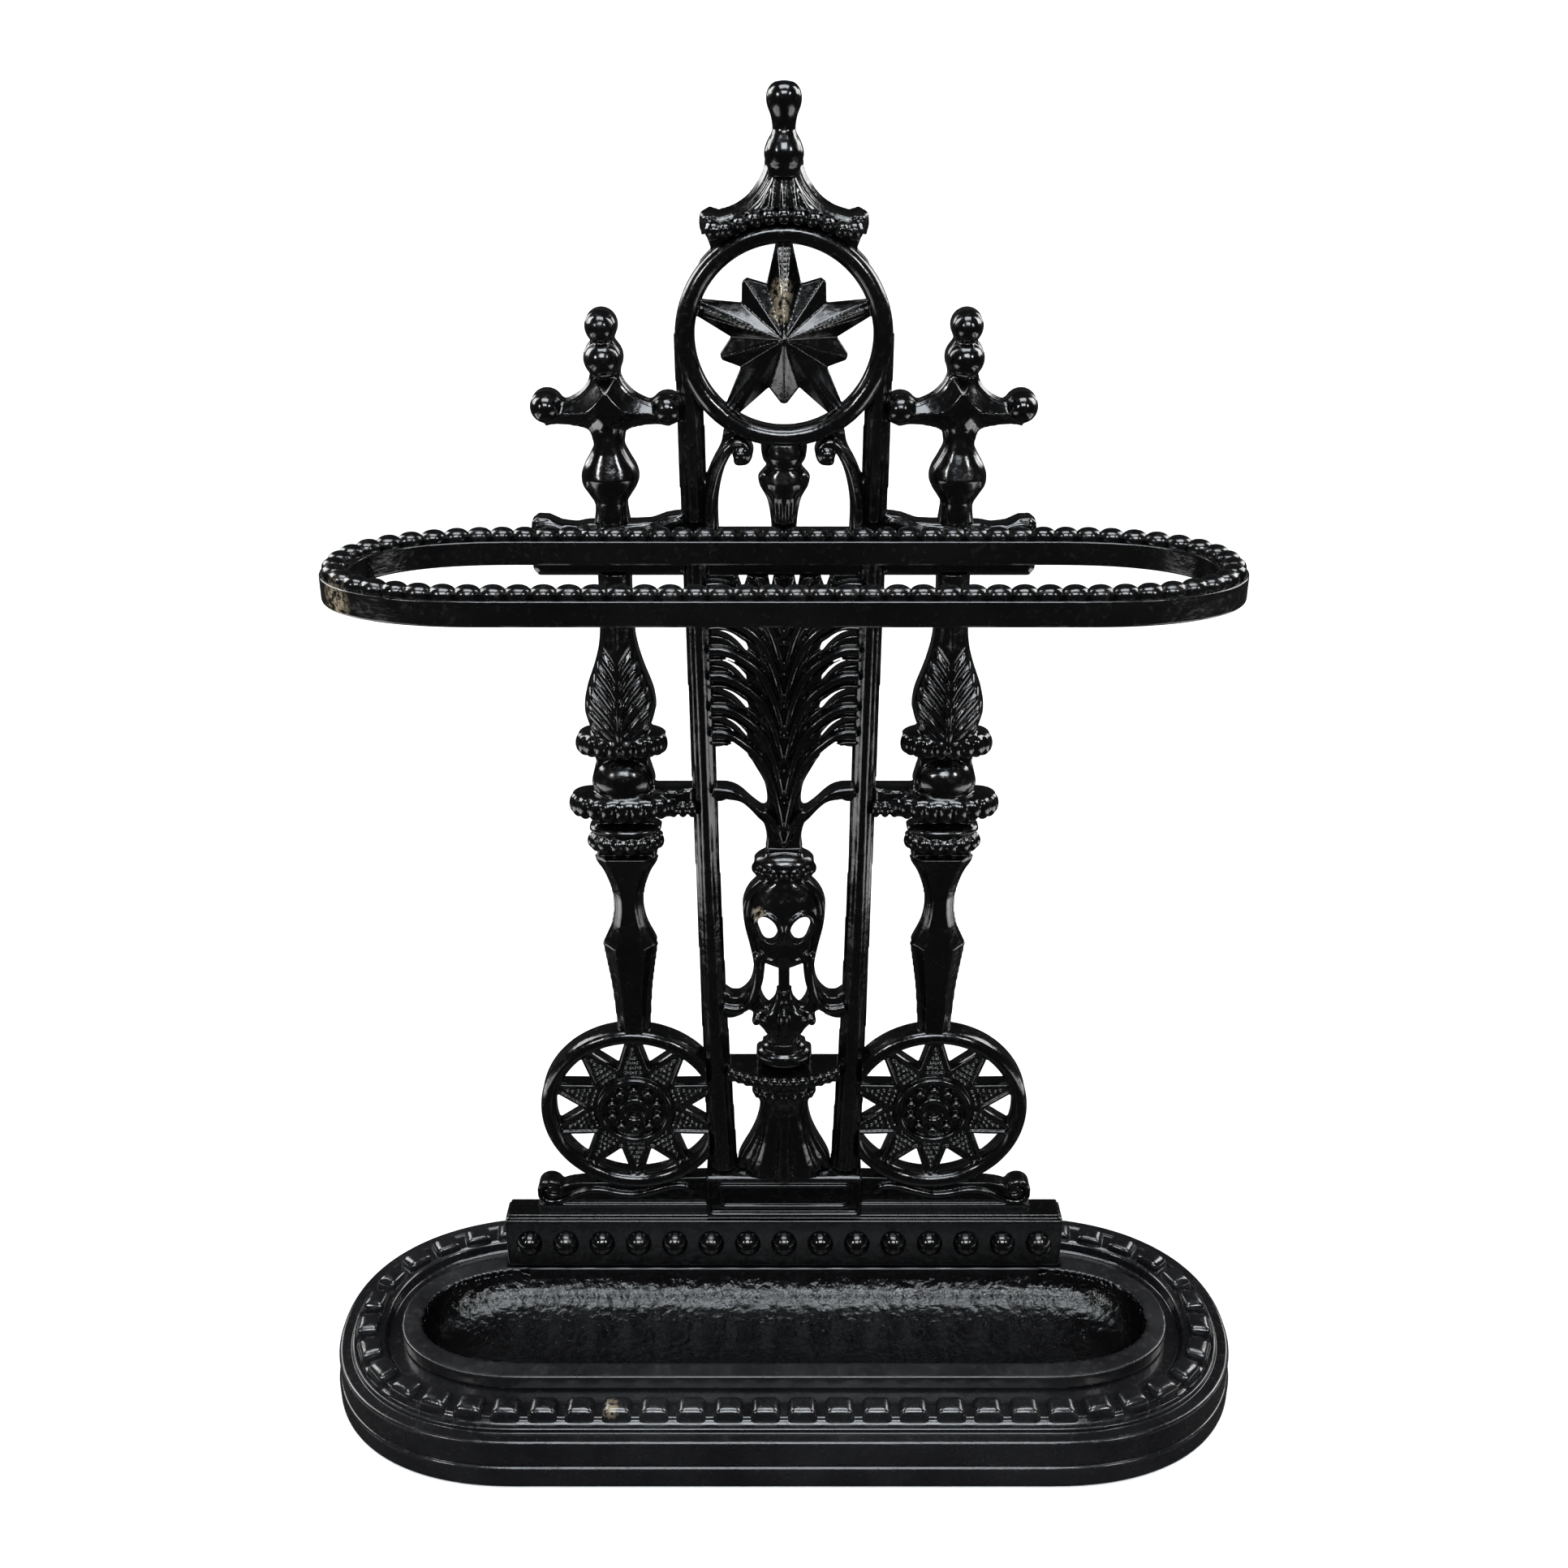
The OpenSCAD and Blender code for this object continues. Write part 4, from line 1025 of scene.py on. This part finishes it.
def plaque():
    hw = high("plaque")[0]
    face = low("plaque")[1] - 2.6
    clay = Clay((-hw - 1.5, face - 3, BOX_TOP - 1), (hw + 1.5, BACK + 1.5, PANEL_FOOT + 2))
    x, y, z = clay.x, clay.y, clay.z
    box = np.maximum(np.abs(x) - hw, np.maximum(BOX_TOP - z, z - PANEL_FOOT + 0.6))
    slope = (z - 98.4 - 0.35 * (y - face)) / 1.06
    clay.add(smooth_max(smooth_max(smooth_max(box, face - y, 0.7), slope, 0.6), y - BACK, 0.8))
    centre = 84.3
    recess = smooth_max(np.abs(x) - 42.6, np.abs(z - centre) - 11.4, 1)
    clay.keep(-smooth_max(recess, y - face - 2.0, 0.4), 0.4)
    inner = smooth_max(np.abs(x) - 36.9, np.abs(z - centre) - 7.3, 2)
    clay.add(np.hypot(inner, y - face - 1.5) - 1.2, 0.4)
    edge_line = smooth_max(np.abs(x) - hw + 0.9, np.abs(z - centre) - 12.4, 1)
    clay.add(np.hypot(edge_line, y - face - 0.4) - 1.1, 0.4)
    clay.keep(np.maximum(np.abs(x) - hw, BOX_TOP - z))
    cast(clay, "plaque")


def brackets():
    face = low("scroll_bracket_left")[1]
    clay = Clay((-146, face - 3, BOX_TOP - 1), (-43, BACK + 1.5, 100))
    x, y, z = clay.x, clay.y, clay.z
    # Plate: a ball end and a web that rises to meet the wheel
    top = spline([(-143.5, 78), (-136, 84), (-129, 88.5), (-121, 90.6), (-112, 91), (-96, 91),
                  (-80, 92), (-66, 94), (-44, 95)], 3)
    web = polygon(x, z, np.vstack([(-143.5, BOX_TOP - 3), top, (-40, BOX_TOP - 3)]))
    edge = smooth_min(web, circle(x, z, -136.4, 85.6, 7.4), 1.0)
    clay.add(clay.slab(edge, face + 3.4, 1.0))
    # Front: a scroll and a wavy lip that runs on to the plaque
    lip = spline([(-131.6, 87.4), (-135.2, 88.6), (-138.2, 86.6), (-137.4, 83.6), (-134, 82.6)])
    curl = spline([(-131.2, 84.0), (-130.6, 88.4), (-134.2, 92.0), (-139.4, 91.2), (-142.4, 86.6),
                   (-141, 80.6), (-136, 78.2), (-129.4, 79.6), (-122, 83.6), (-114.5, 86.4),
                   (-106, 86.6), (-97, 84.4), (-87, 83.6), (-77, 86), (-66, 89.4), (-58, 89.6),
                   (-53.6, 86.4)], 5)
    clay.strand(curl, x, face + 2.3, 1.7, 0.5)
    clay.strand(lip, x, face + 2.3, 1.6, 0.5)
    below = polygon(x, z, np.vstack([(-141, 79), curl[55:], (-44, 84), (-44, 70), (-143, 70)]))
    clay.add(clay.slab(below + 0.6, face + 2.8, 0.8), 0.4)
    # Foot, with a fine line along its top edge
    foot_top = 77.0
    foot = np.maximum(np.maximum(-143.3 - x, x + 40), np.maximum(BOX_TOP - z, z - foot_top))
    clay.add(smooth_max(foot, face + 1.0 - y, 1.0), 0.5)
    line = np.maximum(np.maximum(-142.8 - x, 0), np.abs(z - foot_top))
    clay.add(np.hypot(line, y - face - 1.2) - 1.0, 0.5)
    clay.flat_back()
    clay.keep(np.maximum(BOX_TOP - z, x + 44.5))
    clay.keep(-143.6 - x)
    clay.clear_round(-WHEEL_X, WHEEL_Z, WHEEL_R - 1.4)
    both_sides(clay, "scroll_bracket")


# ---------- Lofts ----------

def end_oval(hw, hd, end, power, count):
    """A long oval as evenly spaced points, anticlockwise from its right end, and its length."""
    t = np.linspace(0, math.pi / 2, 60)
    quarter = np.stack([hw - end + end * np.cos(t) ** (2 / power), hd * np.sin(t) ** (2 / power)], 1)
    right = np.vstack([quarter, quarter[::-1] * [-1, 1]])
    loop = np.vstack([right, -right])
    loop = loop[np.concatenate([[True], np.hypot(*np.diff(loop, axis=0).T) > 1e-6])]
    closed = np.vstack([loop, loop[:1]])
    run = np.concatenate([[0], np.cumsum(np.hypot(*np.diff(closed, axis=0).T))])
    at = np.linspace(0, run[-1], count, endpoint=False)
    even = np.stack([np.interp(at, run, closed[:, 0]), np.interp(at, run, closed[:, 1])], 1)
    return even, run[-1]


def outward(loop):
    """Unit normals of a closed anticlockwise outline."""
    ahead = np.roll(loop, -1, axis=0) - np.roll(loop, 1, axis=0)
    normal = np.stack([ahead[:, 1], -ahead[:, 0]], 1)
    return normal / np.hypot(*normal.T)[:, None]


def rounded(profile, radius, steps=4):
    """A closed profile with its corners rounded. Each point may have its own radius after it."""
    out = []
    n = len(profile)
    for i, point in enumerate(profile):
        p = np.array(point[:2], float)
        r = point[2] if len(point) > 2 else radius
        a = np.array(profile[i - 1][:2], float) - p
        b = np.array(profile[(i + 1) % n][:2], float) - p
        la, lb = np.hypot(*a), np.hypot(*b)
        cut = min(r, la * 0.45, lb * 0.45)
        start, end = p + a / la * cut, p + b / lb * cut
        out.append(start + a * min(0.3 / la, 0.02))
        for t in np.linspace(0, 1, steps + 1):
            out.append((1 - t) ** 2 * start + 2 * t * (1 - t) * p + t * t * end)
        out.append(end + b * min(0.3 / lb, 0.02))
    return np.array(out)


def loft(name, loop, profile, centre_y=0.0):
    """A closed profile of (inset, height) carried round an outline."""
    normal = outward(loop)
    rows = []
    for inset, height in profile:
        ring = loop - normal * inset
        rows.append(np.column_stack([ring[:, 0], ring[:, 1] + centre_y, np.full(len(ring), height)]))
    n, m = len(loop), len(profile)
    i, j = np.meshgrid(np.arange(m), np.arange(n), indexing="ij")
    a = i * n + j
    b = ((i + 1) % m) * n + j
    c = ((i + 1) % m) * n + (j + 1) % n
    d = i * n + (j + 1) % n
    faces = np.stack([a, b, c, d], -1).reshape(-1, 4)
    return mesh_object(name, np.vstack(rows) * MM, faces)


def copies(name, template, faces, places):
    """One mesh of many turned and moved copies of a template, in millimetres."""
    points, all_faces = [], []
    for k, (spot, turn) in enumerate(places):
        c, s = math.cos(turn), math.sin(turn)
        p = template.copy()
        p[:, 0] = template[:, 0] * c - template[:, 1] * s + spot[0]
        p[:, 1] = template[:, 0] * s + template[:, 1] * c + spot[1]
        p[:, 2] += spot[2]
        points.append(p)
        all_faces.append(faces + k * len(template))
    return mesh_object(name, np.vstack(points) * MM, np.vstack(all_faces))


def blob(radii, power_plan, power_tall, rings=14, around=28):
    """A closed rounded block as a grid of points and four-cornered faces."""
    v = np.linspace(-math.pi / 2 + 0.02, math.pi / 2 - 0.02, rings)
    u = np.linspace(0, 2 * math.pi, around, endpoint=False)
    u, v = np.meshgrid(u, v)

    def bend(value, power):
        return np.sign(value) * np.abs(value) ** (2 / power)

    x = radii[0] * bend(np.cos(v), power_tall) * bend(np.cos(u), power_plan)
    y = radii[1] * bend(np.cos(v), power_tall) * bend(np.sin(u), power_plan)
    z = radii[2] * bend(np.sin(v), power_tall)
    points = np.stack([x, y, z], -1).reshape(-1, 3)
    faces = []
    for i in range(rings - 1):
        for j in range(around):
            k = (j + 1) % around
            here, there = i * around, (i + 1) * around
            faces.append((here + j, here + k, there + k, there + j))
    for row, order in ((0, 1), (rings - 1, -1)):
        start = row * around
        for j in range(0, around // 2 - 1):
            quad = [start + j, start + j + 1, start + around - 2 - j, start + around - 1 - j]
            faces.append(tuple(quad[::-order]))
    return points, np.array(faces)


def places_along(loop, count, height, centre_y=0.0):
    """Evenly spaced places on an outline, turned so that their own +X faces outwards."""
    n = len(loop)
    normal = outward(loop)
    out = []
    for k in range(count):
        at = (k + 0.5) / count * n
        i = int(at) % n
        share = at - int(at)
        p = loop[i] * (1 - share) + loop[(i + 1) % n] * share
        d = normal[i] * (1 - share) + normal[(i + 1) % n] * share
        out.append(((p[0], p[1] + centre_y, height), math.atan2(d[1], d[0])))
    return out


def base():
    loop, _ = end_oval(BASE_HW, BASE_HD, BASE_END, BASE_POWER, 400)
    foot = high("base_plinth")[2]
    shelf = LEDGE - 3
    profile = rounded([
        (8.5, 0, 1.0), (0.4, 0, 0.6), (0, 1, 0.6), (0, 10.6, 1.2), (0.9, 12.2, 0.6), (1.9, 12.6, 0.6),
        (1.9, 13.6, 0.6), (1.5, 14.4, 0.6), (1.6, 27.4, 1.0), (2.4, 28.6, 0.5), (3.4, LEDGE, 0.5),
        (8.8, LEDGE, 0.6), (9.2, foot + 0.6, 0.6), (10.6, foot + 0.9, 0.5), (11.4, foot - 0.2, 1.0),
        (13.0, foot - 0.6, 1.0), (15.2, foot + 0.5, 0.8), (16.4, foot + 2.2, 0.6),
        (24.8, foot + 2.2, 0.8), (27.2, foot + 0.8, 1.0), (28.6, shelf + 0.8, 0.8),
        (30.2, shelf, 0.6), (46.6, shelf, 1.0), (47.2, shelf - 6, 1.0), (47.4, 1.2, 0.8),
        (42.4, 0.6, 0.8), (42.0, shelf - 6, 2.0), (9.0, shelf - 6, 2.0),
    ], 0.8)
    piece = loft("base_casting", loop, profile)
    fit(piece, BASE_ENAMEL_FLOOR_LIT, "base_plinth")


def teeth():
    count = 56
    loop, length = end_oval(BASE_HW - 17.2, BASE_HD - 20.6, BASE_END - 17.2, BASE_POWER, 900)
    pitch = length / count
    template, faces = blob((6.3, pitch * 0.41, 6.2), 6.0, 3.0, 20, 40)
    # The outer face leans back, and each tooth is narrower at its top
    template[:, 0] -= 0.14 * template[:, 2]
    template[:, 1] *= 1 - 0.014 * template[:, 2]
    foot = high("base_plinth")[2]
    piece = copies("toothed_band", template, faces, places_along(loop, count, foot + 1.4))
    fit(piece, BASE_ENAMEL_FLOOR_LIT, "base_teeth")


def tray():
    centre = -1.4
    under = low("drip_tray")[2]
    rest = LEDGE - 2.7
    clay = Clay((-219, -53, under - 1.5), (219, 50, RIM_TOP + 1.5), 0.95)
    x, y, z = clay.x, clay.y, clay.z
    loop, _ = end_oval(217.2, 49.4, 76, BASE_POWER, 200)
    inset = -polygon(x[:, :, 0], y[:, :, 0] - centre, loop)[:, :, None]
    # Height of the bowl's inside and outside at each distance from the rim's edge
    rim = 11.0
    wall = 2.6
    curve = spline([(11.4, 35.2), (12.6, 31), (15.4, 25.6), (20, 20.8), (26, 17.6), (34, 15.8),
                    (42, 15.1), (51, 15)], 5)
    bowl = np.interp(inset, curve[:, 0], curve[:, 1], left=60)
    lean = np.interp(inset, [11.4, 15, 20, 30, 40], [0.35, 0.55, 0.75, 0.95, 1])
    body = smooth_max(-inset, z - RIM_TOP, 0.9)
    body = np.maximum(body, np.where(inset < 9, rest - z, -50))
    body = np.maximum(body, (bowl - wall / lean - z) * lean)
    hollow = smooth_max((bowl - z) * lean, rim - inset, 1.4)
    clay.add(smooth_max(body, -hollow, 0.9))
    ledge = smooth_max(np.maximum(-inset, inset - 14), np.maximum(rest - z, z - RIM_TOP), 0.5)
    clay.add(smooth_max(ledge, inset - rim, 0.6))
    pad = np.maximum(np.abs(x) - high("foot_box")[0] - 0.5, BOX_FRONT - 0.5 - y)
    clay.keep(-pad, 0.8)
    # The bowl has a second material
    piece = clay.mesh("tray_casting")
    fit(piece, RIM_ENAMEL, "drip_tray", body="tray", slot="tray_enamel")
    piece.data.materials.append(TRAY_ENAMEL)
    count = len(piece.data.polygons)
    centres = np.zeros(count * 3)
    piece.data.polygons.foreach_get("center", centres)
    centres = centres.reshape(-1, 3) / MM
    depth = np.hypot(centres[:, 1] - centre, np.maximum(np.abs(centres[:, 0]) - 165, 0) * 0.72)
    inside = (centres[:, 2] < RIM_TOP - 0.8) & (depth < 38.6)
    piece.data.polygons.foreach_set("material_index", inside.astype(np.int32))


def foot_box():
    hw = high("foot_box")[0]
    depth = high("foot_box")[1]
    clay = Clay((-hw - 1.5, BOX_FRONT - 1.5, LEDGE - 4), (hw + 1.5, depth + 1.5, BOX_TOP + 1.5), 0.8)
    x, y, z = clay.x, clay.y, clay.z
    middle = (BOX_FRONT + depth) / 2
    half = (depth - BOX_FRONT) / 2
    body = smooth_max(np.abs(x) - hw, np.abs(y - middle) - half, 0.9)
    clay.add(smooth_max(body, z - BOX_TOP + 2, 0.7))
    step = smooth_max(np.abs(x) - hw + 1.4, np.abs(y - middle - 1.2) - half + 1.6, 0.8)
    clay.add(smooth_max(step, z - BOX_TOP, 0.7), 0.3)
    clay.keep(LEDGE - 3 - z)
    cast(clay, "foot_box")


def box_beads():
    count = 15
    pitch = 2 * (high("foot_box")[0] - 13.5) / (count - 1)
    template, faces = blob((7.8, 7.8, 7.8), 2.0, 2.0, 24, 40)
    template[:, 1] = np.minimum(template[:, 1], 1.5)
    flange, flange_faces = blob((8.8, 1.5, 8.8), 2.0, 2.0, 12, 40)
    points = np.vstack([template, flange])
    faces = np.vstack([faces, flange_faces + len(template)])
    places = [(((i - (count - 1) / 2) * pitch, BOX_FRONT + 0.8, 51.5), 0.0) for i in range(count)]
    fit(copies("box_bead_row", points, faces, places), PANEL_ENAMEL, "box_beads")


def stick_ring():
    loop, _ = end_oval(RING_HW, RING_HD, RING_END, RING_POWER, 520)
    w = RING_BAND
    profile = rounded([
        (0, RING_LOW, 1.2), (0, RING_TOP - 0.4, 0.8), (1.2, RING_TOP, 0.5), (1.9, RING_TOP - 0.7, 0.5),
        (w - 1.9, RING_TOP - 0.7, 0.5), (w - 1.2, RING_TOP, 0.5), (w, RING_TOP - 0.4, 0.8),
        (w, RING_LOW, 1.2),
    ], 0.8, 5)
    piece = loft("ring_band", loop, profile, RING_Y)
    fit(piece, RING_ENAMEL, "stick_ring")


def ring_beads():
    half = RING_BAND / 2
    middle, _ = end_oval(RING_HW - half, RING_HD - half, RING_END - half, RING_POWER, 900)
    template, faces = blob((5.6, 6.3, 4.5), 2.0, 2.2, 18, 32)
    places = places_along(middle, 84, RING_TOP + 0.8, RING_Y)
    fit(copies("ring_bead_row", template, faces, places), RING_ENAMEL, "ring_beads")


def bolts():
    """The bolts and washers stay as they are in CAD, in steel."""
    for name in ("ring_bolts", "ring_washers", "foot_bolts", "foot_washers"):
        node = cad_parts[name]
        node.data.materials.clear()
        node.data.materials.append(STEEL)


# ---------- Scene ----------

def stage():
    """A floor that curves up into a wide pale bowl all round the object."""
    steps = np.linspace(-4.2, 4.2, 85)
    flat_radius = 1.3
    x, y = np.meshgrid(steps, steps, indexing="ij")
    rise = np.maximum(np.hypot(x, y) - flat_radius, 0)
    points = np.stack([x, y, 0.45 * rise ** 2 - 0.0002], -1).reshape(-1, 3)
    n = len(steps)
    corner = (np.arange(n - 1)[:, None] * n + np.arange(n - 1)).ravel()
    faces = np.stack([corner, corner + n, corner + n + 1, corner + 1], 1)
    floor = mesh_object("studio_floor", points, faces)
    floor.visible_glossy = False
    floor.data.materials.append(floor_paint())


def lamp(name, place, aim, size, power, tint=(1, 1, 1)):
    data = bpy.data.lights.new(name, "AREA")
    data.shape = "RECTANGLE"
    data.size, data.size_y = size
    data.energy = power
    data.color = tint
    made = bpy.data.objects.new(name, data)
    made.location = place
    made.rotation_euler = (Vector(aim) - Vector(place)).to_track_quat("-Z", "Y").to_euler()
    bpy.context.scene.collection.objects.link(made)


def lights():
    world = bpy.data.worlds.new("studio")
    world.use_nodes = True
    background = world.node_tree.nodes["Background"]
    background.inputs["Color"].default_value = (1, 1, 1, 1)
    background.inputs["Strength"].default_value = 0.035
    bpy.context.scene.world = world
    middle = (0, 0, 0.35)
    lamp("overhead", (0, -0.3, 2.2), middle, (1.3, 0.8), 30, (0.9, 0.95, 1.0))
    lamp("front_high", (0, -1.5, 1.7), middle, (1.0, 0.6), 24, (0.9, 0.95, 1.0))
    lamp("front_left", (-1.1, -1.1, 1.2), middle, (0.2, 0.3), 6)
    lamp("front_right", (1.0, -1.1, 1.3), middle, (0.2, 0.3), 6)
    for side, s in (("left", -1), ("right", 1)):
        lamp(f"floor_{side}", (0.8 * s, -0.15, 0.002), (0.8 * s, -0.15, 1), (0.6, 0.9), 5)
        lamp(f"rear_{side}", (1.7 * s, 1.5, 1.2), middle, (0.5, 0.8), 8)
        lamp(f"backdrop_{side}", (1.9 * s, 0.9, 1.7), (0, 2.4, 0.6), (1.3, 1.3), 50)


def camera():
    data = bpy.data.cameras.new("photo_camera")
    data.sensor_width = 36
    data.lens = 37.14
    made = bpy.data.objects.new("photo_camera", data)
    made.location = (0, -0.7223, 0.6872)
    downward = 24.02
    made.rotation_euler = (math.radians(90 - downward), 0, 0)
    bpy.context.scene.collection.objects.link(made)
    bpy.context.scene.camera = made
    bpy.context.scene.view_settings.view_transform = "Standard"


camera()
stage()
lights()
base()
teeth()
tray()
foot_box()
box_beads()
plaque()
brackets()
wheels()
lower_spindles()
upper_spindles()
rails()
medallion()
roof()
finial()
crossbar()
c_scrolls()
baluster()
palm()
urn()
dish()
pedestal()
stick_ring()
ring_beads()
bolts()
